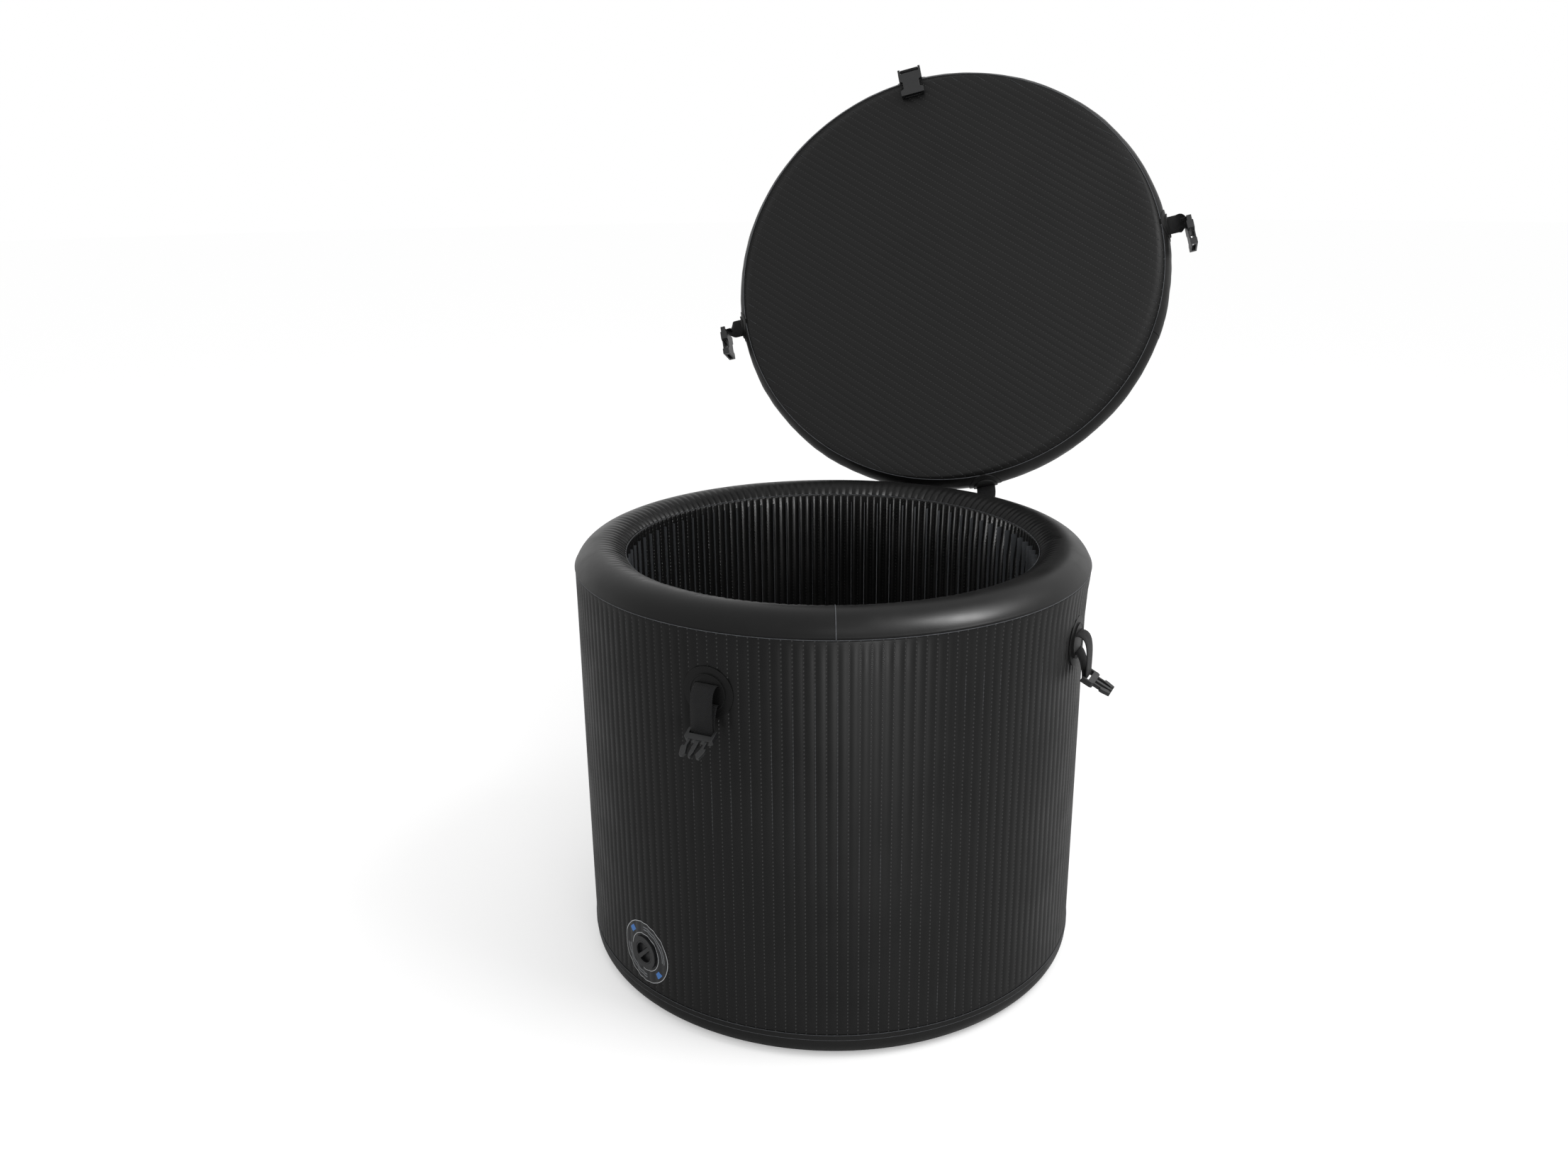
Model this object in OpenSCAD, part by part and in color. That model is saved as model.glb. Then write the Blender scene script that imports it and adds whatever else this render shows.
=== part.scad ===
// Cold plunge tub: a round drop stitch tub with an inflatable lid that folds back on its rear strap.
// Millimetres, +Z up. The origin is the centre of the base on the floor, and the tub's axis is +Z.
// The front strap is on the -Y side and the rear strap on the +Y side. The lid is drawn open.

/* [Tub] */
// Outer radius of the ribbed wall
tub_r = 455; // [400:1:500]
// Height of the crown of the rim
tub_h = 772; // [700:1:850]
// Thickness of the inflated wall
wall_t = 96; // [85:1:106]
// Coated fabric thickness of every skin
skin_t = 1.2; // [0.9:0.1:1.5]
// Drop of the outer rim seam below the crown
outer_seam_drop = 35; // [30:1:42]
// Drop of the inner rim seam below the crown
inner_seam_drop = 19; // [16:1:24]
// Height of the band that wraps the foot of the wall
base_band_h = 45; // [38:1:60]
// Radius of the rounded foot
foot_r = 30; // [20:1:36]
// Height of the inflated floor's top sheet
floor_h = 52; // [40:1:60]
// Width of the tape in the corner between floor and wall
corner_tape_w = 20; // [16:1:30]
// Yarn rows round the wall
yarn_rows_wall = 84; // [60:4:120]

/* [Lid] */
// Overhang of the lid past the wall's radius
lid_overhang = 4.5; // [3:0.5:8]
// Thickness of the inflated lid
lid_t = 73; // [60:1:80]
// Width of the rounded lid edge outside its seams
lid_edge_w = 18.5; // [16:0.5:24]
// Gap between the closed lid and the rim
lid_seat_gap = 0.8; // [0.5:0.1:2]
// Pitch of the lid's yarn rows
lid_row_pitch = 28; // [20:1:40]

/* [Fold] */
// Swing of the rear strap from upright to the open lid, degrees
strap_swing_deg = 54.8; // [50:0.1:56]
// Fold of the lid from closed to open, degrees
lid_fold_deg = 134.05; // [120:0.05:136]
// Heading of the fold axis from +X, degrees
fold_heading_deg = 29.25; // [28:0.05:31]
// Dip of the fold axis below level, degrees
fold_dip_deg = 23.15; // [22:0.05:24]
// Distance of the fold point outside the lid's edge
fold_reach = 29.5; // [28:0.5:34]

/* [Straps] */
// Width of the webbing
web_w = 38; // [30:1:40]
// Thickness of the webbing
web_t = 1.8; // [1.4:0.1:2]
// Drop of the centre of the strap patches below the crown
patch_drop = 135; // [122:1:172]
// Radius of a strap patch
patch_r = 43; // [40:1:46]
// Radius of the raised disc on a patch
disc_r = 31; // [29:1:33]
// Thickness of a patch's flange
patch_t = 1.6; // [1.2:0.1:2]
// Height of the raised disc over the wall
disc_t = 3.4; // [3:0.1:5]
// Drop of a loop from its slit to the plug's bar
loop_drop = 74; // [65:1:85]
// Rest tilt of a hanging plug away from the wall, degrees
plug_tilt_deg = 63; // [45:1:75]

/* [Buckles] */
// Width of a buckle socket
socket_w = 49; // [48:0.5:54]
// Length of a buckle socket past its bar
socket_l = 58; // [55:1:66]
// Thickness of a buckle socket
socket_t = 14; // [12.5:0.5:15]
// Length of the plug's base outside the socket
plug_base_l = 18; // [17:1:24]
// Length of the plug's prongs
prong_l = 31; // [29:1:33]
// Thickness of the plug's prongs
prong_t = 6.4; // [5:0.2:7]

/* [Valves] */
// Azimuth of the inflation valve from the front strap, degrees
valve_az = -20.3; // [-24:0.1:-16]
// Height of the inflation valve
valve_z = 114; // [105:1:130]
// Radius of a valve's flange
valve_flange_r = 30; // [27:1:32]
// Radius of a valve's recess
valve_recess_r = 21; // [19:0.5:22]
// Outer radius of the printed label round the wall valve
label_r = 58; // [50:1:62]
// Share of the lid's face radius at which its valve sits, along each side
lid_valve_share = 0.565; // [0.5:0.005:0.6]

/* [Drain] */
// Azimuth of the drain from the front strap, degrees
drain_az = 225; // [215:1:240]
// Bore radius of the drain pipe
drain_bore_r = 15; // [12:0.5:17]
// Length of the drain's spigot outside the wall
drain_spigot_l = 24; // [22:1:30]

/* [Hidden] */

// Overrun of every cut
cut = 1;
// Running gap between a piece and its seat
seat_gap = 0.3;
// Glue film under the drain's inner seal
film = 0.05;
ring_fn = 180;
round_fn = 48;

// Rim: its arc passes the two seams and the crown
inner_r = tub_r - wall_t;
outer_seam_z = tub_h - outer_seam_drop;
inner_seam_z = tub_h - inner_seam_drop;
patch_z = tub_h - patch_drop;
function half_chord(r, drop) = sqrt(2 * r * drop - drop * drop);
function rim_fit(lo, hi, n) = let (mid = (lo + hi) / 2) n == 0 ? mid
  : half_chord(mid, outer_seam_drop) + half_chord(mid, inner_seam_drop) < wall_t ? rim_fit(mid, hi, n - 1)
  : rim_fit(lo, mid, n - 1);
fit_steps = 40;
rim_arc_r = rim_fit(outer_seam_drop / 2, 3 * wall_t, fit_steps);
rim_arc_z = tub_h - rim_arc_r;
rim_mid_r = tub_r - half_chord(rim_arc_r, outer_seam_drop);

// Foot, floor and yarn
floor_row_pitch = 30;
yarn_t = 0.3;
foot_flat_r = tub_r - foot_r;
foot_lap = 22;

// Lid, drawn closed and then opened
lid_r = tub_r + lid_overhang;
lid_face_r = lid_r - lid_edge_w;
lid_z0 = tub_h + lid_seat_gap;
lid_mid_z = lid_z0 + lid_t / 2;
lid_top_z = lid_z0 + lid_t;
lid_arc_r = (pow(lid_t / 2, 2) + pow(lid_edge_w, 2)) / (2 * lid_edge_w);
lid_patch_r = 34;
lid_disc_r = 25;

// Fold: the strap swings about the rear disc, and the lid folds about the strap's top end
fold_y = lid_r + fold_reach;
strap_root = [0, fold_y, patch_z];
strap_l = lid_mid_z - patch_z;
fold_point = strap_root + strap_l * [sin(strap_swing_deg), 0, cos(strap_swing_deg)];
fold_axis = [cos(fold_dip_deg) * cos(fold_heading_deg), cos(fold_dip_deg) * sin(fold_heading_deg),
  -sin(fold_dip_deg)];

// Patches and webbing
slit_rise = 14;
lower_slit_drop = 18;
slit_w = web_w + 2;
slit_h = 4;
lip_w = 2;
lip_t = 0.8;
loop_bulge = 17;
root_l = 3;
bend_points = 12;
ribbon_steps = 14;
twist_steps = 8;

// Buckles
bar_r = 2;
slot_l = 5;
slot_half_w = web_w / 2 + 0.7;
bar_play = 0.02;
wrap_in = bar_r + bar_play;
wrap_r = wrap_in + web_t;
shoulder_l = 12;
mouth_w = 34;
cavity_w = socket_w - 6.6;
cavity_l = prong_l + 3;
waist = 7;
mouth_t = prong_t + 2 * seat_gap;
plug_base_t = 10;
arm_w = 4.2;
head_l = 11;
tip_w = 4.5;
guide_w = 7;
rear_bar_rise = 54;
front_bar_drop = lid_t / 2 + 8.5;
front_bar_out = 5.5;
side_bar_out = 42;
side_slot_rest = [-90, 90];

// Valves
valve_flange_t = 2.4;
valve_wall = 2.4;
valve_depth = 36;
valve_ledge_z = 6;
valve_ledge_w = 2;
valve_floor_z = 18;
valve_floor_t = 3;
valve_port_r = 11;
valve_arm_w = 4;
valve_hub_r = 6;
valve_nut_w = 5;
valve_nut_t = 7;
seal_t = 1.2;
sag = 2;
stem_r = 3;
button_r = 6;
button_t = 2;
pin_disc_r = 15;
pin_disc_t = 2.4;
spring_l = 8;
spring_r = 4.6;
spring_wire_r = 0.7;
spring_turns = 3;
spring_steps = 12;
spring_sides = 6;
cap_t = 3;
cap_bar_w = 7;
cap_rim_w = 2.4;
label_t = 0.5;
label_inner_r = 34;

// Drain
drain_wall = 3.5;
drain_flange_w = 12;
drain_flange_t = 3.2;
drain_nut_w = 10;
drain_nut_t = 8;
drain_cap_wall = 2.6;
drain_cap_top = 3;
drain_cap_l = 11;
drain_grips = 12;
drain_grip_r = 2;
strainer_t = 3;
strainer_hole_r = 2.4;
strainer_ring_r = 8.5;
strainer_holes = 6;
drain_pipe_r = drain_bore_r + drain_wall;
drain_flange_r = drain_pipe_r + drain_flange_w;
drain_z = floor_h + corner_tape_w + drain_flange_r + drain_wall;

// A point on a cubic curve, and the curve's points
function bend(p, t) = pow(1 - t, 3) * p[0] + 3 * pow(1 - t, 2) * t * p[1]
  + 3 * (1 - t) * t * t * p[2] + pow(t, 3) * p[3];
function bend_line(p) = [for (i = [0:bend_points]) bend(p, i / bend_points)];
// Outline of a strip of thickness t along a flat line of points
function along(p, i) = p[min(i + 1, len(p) - 1)] - p[max(i - 1, 0)];
function side(p, i) = let (d = along(p, i)) [-d.y, d.x] / norm(d);
function strip(p, t) = concat(
  [for (i = [0:len(p) - 1]) p[i] + side(p, i) * t / 2],
  [for (i = [len(p) - 1:-1:0]) p[i] - side(p, i) * t / 2]);
// A vector turned about an axis, and points of the closed lid carried to the open lid
function turn(v, k, a) = v * cos(a) + cross(k, v) * sin(a) + k * (k * v) * (1 - cos(a));
function swing_v(v) = turn(v, [0, 1, 0], strap_swing_deg);
function open_v(v) = turn(swing_v(v), fold_axis, -lid_fold_deg);
function swing_p(p) = strap_root + swing_v(p - strap_root);
function open_p(p) = fold_point + turn(swing_p(p) - fold_point, fold_axis, -lid_fold_deg);

module azimuth(a) rotate([0, 0, a]) children();
module swung() translate(strap_root) rotate([0, strap_swing_deg, 0]) translate(-strap_root) children();
module opened() translate(fold_point) rotate(a = -lid_fold_deg, v = fold_axis) translate(-fold_point)
  swung() children();
// Extrudes a profile of radius and height by a width along the wall, at the front
module across(w) rotate([90, 0, -90]) linear_extrude(height = w, center = true) children();
// Sets a part that stands on +Z on the wall at the front, facing out
module on_wall(r, z) translate([0, -r, z]) rotate([90, 0, 0]) children();
module ring(r1, r2, h, fn = ring_fn) linear_extrude(height = h) difference() {
  circle(r = r2, $fn = fn);
  circle(r = r1, $fn = fn);
}

// Tub shell
module valve_hole() azimuth(valve_az) on_wall(tub_r, valve_z) translate([0, 0, -valve_depth])
  cylinder(r = valve_recess_r + valve_wall, h = valve_depth + sag, $fn = round_fn);
module drain_hole(gap) azimuth(drain_az) on_wall(tub_r, drain_z) translate([0, 0, -wall_t - sag])
  cylinder(r = drain_pipe_r + gap, h = wall_t + 2 * sag, $fn = round_fn);
module outer_wall_skin() color("#26282b") difference() {
  translate([0, 0, base_band_h]) ring(tub_r - skin_t, tub_r, outer_seam_z - base_band_h);
  valve_hole();
  drain_hole(0);
}
module inner_wall_skin() color("#1d1f21") difference() {
  translate([0, 0, floor_h]) ring(inner_r, inner_r + skin_t, inner_seam_z - floor_h);
  drain_hole(0);
}
module wall_stitch_core() color("#3a3c3f") difference() {
  for (i = [0:yarn_rows_wall - 1]) rotate([0, 0, i * 360 / yarn_rows_wall])
    translate([inner_r + skin_t, -yarn_t / 2, floor_h])
      cube([wall_t - 2 * skin_t, yarn_t, outer_seam_z - floor_h]);
  azimuth(valve_az) on_wall(tub_r, valve_z) translate([0, 0, -valve_depth - cut])
    cylinder(r = valve_recess_r + valve_wall + valve_nut_w + cut, h = valve_depth + 2 * cut, $fn = round_fn);
  drain_hole(cut);
}
module rim_band() color("#2b2d30") rotate_extrude($fn = ring_fn) intersection() {
  translate([rim_mid_r, rim_arc_z]) difference() {
    circle(r = rim_arc_r, $fn = ring_fn);
    circle(r = rim_arc_r - skin_t, $fn = ring_fn);
  }
  polygon([[inner_r - skin_t, inner_seam_z], [rim_mid_r, inner_seam_z], [rim_mid_r, outer_seam_z],
    [tub_r + skin_t, outer_seam_z], [tub_r + skin_t, tub_h + skin_t], [inner_r - skin_t, tub_h + skin_t]]);
}
module base_band() color("#1f2123") rotate_extrude($fn = ring_fn) {
  difference() {
    translate([foot_flat_r, foot_r]) circle(r = foot_r, $fn = ring_fn);
    translate([foot_flat_r, foot_r]) circle(r = foot_r - skin_t, $fn = ring_fn);
    translate([foot_flat_r - 2 * foot_r, 0]) square([2 * foot_r, 2 * foot_r]);
    translate([foot_flat_r, foot_r]) square([2 * foot_r, foot_r]);
  }
  translate([tub_r - skin_t, foot_r]) square([skin_t, base_band_h - foot_r]);
  translate([foot_flat_r - foot_lap, 0]) square([foot_lap, skin_t]);
}
module base_sheet() color("#1f2123") cylinder(r = foot_flat_r - foot_lap, h = skin_t, $fn = ring_fn);
module floor_sheet() color("#1d1f21") translate([0, 0, floor_h - skin_t])
  cylinder(r = inner_r + skin_t, h = skin_t, $fn = ring_fn);
// Rows of yarn between two flat sheets, inside a circle
module yarn_rows(r, z1, z2, pitch) for (i = [-floor(r / pitch):floor(r / pitch)])
  let (x = i * pitch, half = sqrt(max(0, r * r - x * x)) - pitch / 4)
    if (half > pitch) translate([x - yarn_t / 2, -half, z1]) cube([yarn_t, 2 * half, z2 - z1]);
module floor_stitch_core() color("#3a3c3f")
  yarn_rows(inner_r, skin_t, floor_h - skin_t, floor_row_pitch);
module floor_corner_tape() color("#1d1f21") translate([0, 0, floor_h]) difference() {
  ring(inner_r - corner_tape_w, inner_r, corner_tape_w);
  translate([0, 0, skin_t]) cylinder(r = inner_r - skin_t, h = corner_tape_w, $fn = ring_fn);
}

// Strap patch on the wall: a flange, and a disc with a lip and two slits for the webbing
module wall_round(r1, r2, size) intersection() {
  translate([0, 0, -size]) ring(r1, r2, 2 * size);
  rotate([90, 0, 0]) cylinder(r = size, h = 2 * r2, $fn = round_fn);
}
module disc_slit(z) translate([-slit_w / 2, -tub_r - 2 * disc_t, z - slit_h / 2])
  cube([slit_w, 2 * disc_t - patch_t, slit_h]);
module patch_flange() color("#232527") wall_round(tub_r, tub_r + patch_t, patch_r);
module tub_patch() color("#232527") {
  patch_flange();
  difference() {
    union() {
      wall_round(tub_r + patch_t, tub_r + disc_t, disc_r);
      difference() {
        wall_round(tub_r + disc_t, tub_r + disc_t + lip_t, disc_r);
        rotate([90, 0, 0]) cylinder(r = disc_r - lip_w, h = 2 * tub_r, $fn = round_fn);
      }
    }
    disc_slit(slit_rise);
    disc_slit(-lower_slit_drop);
  }
}
module tub_patch_front() translate([0, 0, patch_z]) tub_patch();
module tub_patch_right() azimuth(90) translate([0, 0, patch_z]) tub_patch();
module tub_patch_left() azimuth(-90) translate([0, 0, patch_z]) tub_patch();
module tub_patch_rear() azimuth(180) translate([0, 0, patch_z]) patch_flange();

// Loop of a free tub strap: out of the upper slit, under the plug's bar and back to the lower slit
loop_top = [tub_r + patch_t, patch_z + slit_rise];
loop_low = [tub_r + patch_t, patch_z - lower_slit_drop];
loop_bar = [tub_r + disc_t + loop_bulge, loop_top.y - loop_drop];
leg_x = wrap_in + web_t / 2;
// Half of a turn of webbing round a bar, under it, or over it when turned by 180
module wrap(a) difference() {
  circle(r = wrap_r, $fn = round_fn);
  circle(r = wrap_in, $fn = round_fn);
  rotate(a) translate([-2 * wrap_r, web_t / 2]) square([4 * wrap_r, 2 * wrap_r]);
}
module loop_webbing() color("#2e3033") across(web_w) {
  polygon(strip(concat([loop_top], bend_line([loop_top + [root_l, 0], loop_top + [loop_bulge * 1.5, 0],
    loop_bar + [leg_x, loop_drop / 2], loop_bar + [leg_x, 0]])), web_t));
  polygon(strip(concat([loop_low], bend_line([loop_low + [root_l, 0], loop_low + [loop_bulge / 2, 0],
    loop_bar + [-leg_x, loop_drop / 4], loop_bar - [leg_x, 0]])), web_t));
  translate(loop_bar) wrap(0);
}
module front_loop_webbing() loop_webbing();
module right_loop_webbing() azimuth(90) loop_webbing();
module left_loop_webbing() azimuth(-90) loop_webbing();

// Buckles, drawn flat with the bar on the X axis and the far end along +Y
arm_out = mouth_w / 2 - seat_gap;
head_out = cavity_w / 2 - seat_gap;
head_y = plug_base_l + shoulder_l + seat_gap;
tip_y = plug_base_l + prong_l;
module plug_arm() polygon([[arm_out - arm_w, plug_base_l - bar_r], [arm_out, plug_base_l - bar_r],
  [arm_out, head_y], [head_out, head_y], [head_out, head_y + head_l / 2], [arm_out - arm_w + tip_w, tip_y],
  [arm_out - arm_w, tip_y], [arm_out - 2 * arm_w, tip_y - head_l / 2], [arm_out - arm_w, head_y]]);
module buckle_bar() rotate([0, 90, 0])
  cylinder(r = bar_r, h = 2 * slot_half_w + 2 * bar_r, center = true, $fn = round_fn);
module rails() for (s = [-1, 1]) translate([s * (slot_half_w + socket_w / 2) / 2, 0, 0])
  translate([slot_half_w / 2 - socket_w / 4, -bar_r - lip_w, -plug_base_t / 2])
    cube([socket_w / 2 - slot_half_w, 2 * bar_r + lip_w + slot_l + cut, plug_base_t]);
module plug() color("#17181a") {
  buckle_bar();
  rails();
  translate([0, 0, -plug_base_t / 2]) linear_extrude(height = plug_base_t)
    polygon([[-socket_w / 2, slot_l + bar_r], [socket_w / 2, slot_l + bar_r],
      [socket_w / 2, plug_base_l - waist / 2], [socket_w / 2 - waist / 2, plug_base_l],
      [waist / 2 - socket_w / 2, plug_base_l], [-socket_w / 2, plug_base_l - waist / 2]]);
  translate([0, 0, -prong_t / 2]) linear_extrude(height = prong_t) {
    plug_arm();
    mirror([1, 0]) plug_arm();
    polygon([[-guide_w / 2, plug_base_l - bar_r], [guide_w / 2, plug_base_l - bar_r],
      [guide_w / 2, tip_y - guide_w], [guide_w / 4, tip_y], [-guide_w / 4, tip_y],
      [-guide_w / 2, tip_y - guide_w]]);
  }
}
shoulder_y = socket_l - shoulder_l;
cavity_y = socket_l - cavity_l;
module half_waist() polygon([[socket_w / 2 + cut, cavity_y - cut], [socket_w / 2 - waist, cavity_y + waist / 2],
  [socket_w / 2 - waist, shoulder_y - waist / 2], [socket_w / 2 + cut, shoulder_y + cut]]);
module socket() color("#17181a") {
  buckle_bar();
  rails();
  difference() {
    translate([0, 0, -socket_t / 2]) linear_extrude(height = socket_t) difference() {
      translate([-socket_w / 2, slot_l + bar_r]) square([socket_w, socket_l - slot_l - bar_r]);
      half_waist();
      mirror([1, 0]) half_waist();
    }
    translate([-mouth_w / 2, cavity_y, -mouth_t / 2]) cube([mouth_w, cavity_l + cut, mouth_t]);
    translate([-cavity_w / 2, cavity_y, -mouth_t / 2]) cube([cavity_w, cavity_l - shoulder_l, mouth_t]);
  }
}
module hanging_plug() translate([0, -loop_bar.x, loop_bar.y]) rotate([-90 - plug_tilt_deg, 0, 0]) plug();
module front_plug() hanging_plug();
module right_plug() azimuth(90) hanging_plug();
module left_plug() azimuth(-90) hanging_plug();

// Rear strap, drawn upright at the rear and swung with the open lid
rear_bar_z = patch_z + rear_bar_rise;
rear_socket_z = rear_bar_z + plug_base_l + socket_l;
module rear_disc() color("#232527") swung() azimuth(180) translate([0, 0, patch_z]) difference() {
  rotate([90, 0, 0]) translate([0, 0, tub_r + patch_t]) {
    cylinder(r = disc_r, h = disc_t - patch_t, $fn = round_fn);
    ring(disc_r - lip_w, disc_r, disc_t - patch_t + lip_t, round_fn);
  }
  disc_slit(slit_rise);
}
module rear_lower_webbing() color("#2e3033") swung() azimuth(180) across(web_w) {
  polygon(strip(concat([loop_top], bend_line([loop_top + [root_l, 0], loop_top + [slit_rise, 0],
    [fold_y - leg_x, rear_bar_z - slit_rise], [fold_y - leg_x, rear_bar_z]])), web_t));
  translate([fold_y, rear_bar_z]) wrap(180);
}
module rear_plug() swung() translate([0, fold_y, rear_bar_z]) rotate([90, 0, 0]) plug();
module rear_socket() swung() translate([0, fold_y, rear_socket_z]) rotate([-90, 0, 0]) socket();
// The upper webbing twists from the socket's bar to the patch of the open lid
ribbon_start = swing_p([0, fold_y, rear_socket_z + leg_x]);
ribbon_end = open_p([0, lid_r + patch_t, lid_mid_z]);
ribbon_path = [ribbon_start, ribbon_start + swing_v([0, 0, strap_l / 6]),
  ribbon_end + open_v([0, fold_reach, 0]), ribbon_end];
ribbon_dt = 0.01;
function ribbon_w(t) = let (w = (1 - t) * swing_v([1, 0, 0]) + t * open_v([1, 0, 0])) w / norm(w);
function ribbon_d(t) = let (d = bend(ribbon_path, min(1, t + ribbon_dt)) - bend(ribbon_path, max(0, t - ribbon_dt)))
  d / norm(d);
function ribbon_ring(t) = let (c = bend(ribbon_path, t), d = ribbon_d(t), w0 = ribbon_w(t) - d * (d * ribbon_w(t)),
  w = w0 / norm(w0) * web_w / 2, n = cross(d, w0) / norm(w0) * web_t / 2)
  [c - w - n, c + w - n, c + w + n, c - w + n];
module ribbon(rings) let (n = len(rings)) polyhedron(points = [for (r = rings) for (p = r) p],
  faces = concat([[0, 1, 2], [0, 2, 3], [4 * n - 1, 4 * n - 2, 4 * n - 3], [4 * n - 1, 4 * n - 3, 4 * n - 4]],
    [for (i = [0:n - 2]) for (j = [0:3]) let (a = 4 * i + j, b = 4 * i + (j + 1) % 4)
      each [[a, b + 4, b], [a, a + 4, b + 4]]]));
module rear_upper_webbing() color("#2e3033") {
  ribbon([for (i = [0:ribbon_steps]) ribbon_ring(i / ribbon_steps)]);
  swung() azimuth(180) across(web_w) translate([fold_y, rear_socket_z]) difference() {
    circle(r = wrap_r, $fn = round_fn);
    circle(r = wrap_in, $fn = round_fn);
  }
}

// Lid
module lid_valve_place() translate([lid_face_r * lid_valve_share, -lid_face_r * lid_valve_share, lid_top_z])
  children();
module lid_underside_skin() color("#2b2c2e") opened() translate([0, 0, lid_z0])
  cylinder(r = lid_face_r, h = skin_t, $fn = ring_fn);
module lid_top_skin() color("#2b2c2e") opened() difference() {
  translate([0, 0, lid_top_z - skin_t]) cylinder(r = lid_face_r, h = skin_t, $fn = ring_fn);
  lid_valve_place() translate([0, 0, -valve_depth])
    cylinder(r = valve_recess_r + valve_wall, h = 2 * valve_depth, $fn = round_fn);
}
module lid_shell(t1, t2) rotate_extrude($fn = ring_fn) intersection() {
  translate([lid_r - lid_arc_r, lid_mid_z]) difference() {
    circle(r = lid_arc_r + t2, $fn = ring_fn);
    circle(r = lid_arc_r + t1, $fn = ring_fn);
  }
  translate([lid_face_r, lid_z0]) square([2 * lid_edge_w, lid_t]);
}
module lid_edge_band() color("#2b2d30") opened() lid_shell(-skin_t, 0);
module lid_stitch_core() color("#3a3c3f") opened() difference() {
  rotate([0, 0, -45]) yarn_rows(lid_face_r, lid_z0 + skin_t, lid_top_z - skin_t, lid_row_pitch);
  lid_valve_place() translate([0, 0, -valve_depth - cut])
    cylinder(r = valve_recess_r + valve_wall + valve_nut_w + cut, h = 2 * valve_depth, $fn = round_fn);
}
module lid_round(size) translate([0, 0, lid_mid_z]) rotate([90, 0, 0])
  cylinder(r = size, h = 2 * lid_r, $fn = round_fn);
module lid_patch() color("#232527") difference() {
  union() {
    intersection() { lid_shell(0, patch_t); lid_round(lid_patch_r); }
    intersection() { lid_shell(patch_t, disc_t); lid_round(lid_disc_r); }
    intersection() {
      lid_shell(disc_t, disc_t + lip_t);
      difference() { lid_round(lid_disc_r); lid_round(lid_disc_r - lip_w); }
    }
  }
  translate([-slit_w / 2, -lid_r - 2 * disc_t, lid_mid_z - slit_h / 2])
    cube([slit_w, 2 * disc_t - patch_t, slit_h]);
}
module lid_patch_front() opened() lid_patch();
module lid_patch_right() opened() azimuth(90) lid_patch();
module lid_patch_rear() opened() azimuth(180) lid_patch();
module lid_patch_left() opened() azimuth(-90) lid_patch();

// Straps on the lid: the front one lies over the underside, the side ones stand out and twist
lid_root = [lid_r + patch_t, lid_mid_z];
front_bar = [lid_r + front_bar_out, lid_mid_z - front_bar_drop];
side_bar = lid_r + side_bar_out;
module lid_front_webbing() color("#2e3033") opened() across(web_w) {
  polygon(strip(concat([lid_root], bend_line([lid_root + [root_l, 0], lid_root + [1.6 * front_bar_out, 0],
    front_bar + [leg_x, front_bar_drop / 2], front_bar + [leg_x, 0]])), web_t));
  translate(front_bar) wrap(0);
}
module side_webbing() color("#2e3033") {
  translate([-web_w / 2, -lid_root.x - root_l, lid_mid_z - web_t / 2]) cube([web_w, root_l, web_t]);
  translate([0, -lid_root.x - root_l, lid_mid_z]) rotate([90, 0, 0])
    linear_extrude(height = side_bar - lid_root.x - root_l - leg_x, twist = 90, slices = twist_steps)
      square([web_w, web_t], center = true);
  translate([0, -side_bar, lid_mid_z - web_w / 2]) ring(wrap_in, wrap_r, web_w, round_fn);
}
module lid_right_webbing() opened() azimuth(90) side_webbing();
module lid_left_webbing() opened() azimuth(-90) side_webbing();
module lid_front_socket() opened() translate([0, -front_bar.x, front_bar.y]) socket();
module side_socket(a) translate([0, -side_bar, lid_mid_z]) rotate([0, a, 0]) rotate([-90, 0, 0]) socket();
module lid_right_socket() opened() azimuth(90) side_socket(side_slot_rest[0]);
module lid_left_socket() opened() azimuth(-90) side_socket(side_slot_rest[1]);

// Valve, drawn with its seat at zero and its outer face up
module valve_body_form(back) color("#202225") difference() {
  union() {
    translate([0, 0, seal_t - back]) cylinder(r = valve_flange_r, h = valve_flange_t + back, $fn = round_fn);
    translate([0, 0, -valve_depth])
      cylinder(r = valve_recess_r + valve_wall, h = valve_depth + seal_t, $fn = round_fn);
  }
  translate([0, 0, -valve_ledge_z])
    cylinder(r = valve_recess_r, h = valve_ledge_z + 4 * valve_flange_t, $fn = round_fn);
  translate([0, 0, -valve_floor_z])
    cylinder(r = valve_recess_r - valve_ledge_w, h = valve_floor_z, $fn = round_fn);
  translate([0, 0, -valve_depth - cut]) cylinder(r = valve_recess_r - valve_ledge_w,
    h = valve_depth + cut - valve_floor_z - valve_floor_t, $fn = round_fn);
  difference() {
    translate([0, 0, -valve_floor_z - 2 * valve_floor_t])
      cylinder(r = valve_port_r, h = 3 * valve_floor_t, $fn = round_fn);
    for (a = [0:120:240]) rotate([0, 0, a]) translate([0, -valve_arm_w / 2, -valve_depth])
      cube([2 * valve_port_r, valve_arm_w, valve_depth]);
    translate([0, 0, -valve_depth]) cylinder(r = valve_hub_r, h = valve_depth, $fn = round_fn);
  }
  translate([0, 0, -valve_depth]) cylinder(r = stem_r + seat_gap, h = valve_depth, $fn = round_fn);
}
module valve_pin_form() color("#d9d9d6") translate([0, 0, -valve_floor_z - valve_floor_t - pin_disc_t]) {
  cylinder(r = pin_disc_r, h = pin_disc_t, $fn = round_fn);
  cylinder(r = stem_r, h = pin_disc_t + valve_floor_t + spring_l + button_t, $fn = round_fn);
  translate([0, 0, pin_disc_t + valve_floor_t + spring_l]) cylinder(r = button_r, h = button_t, $fn = round_fn);
}
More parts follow.
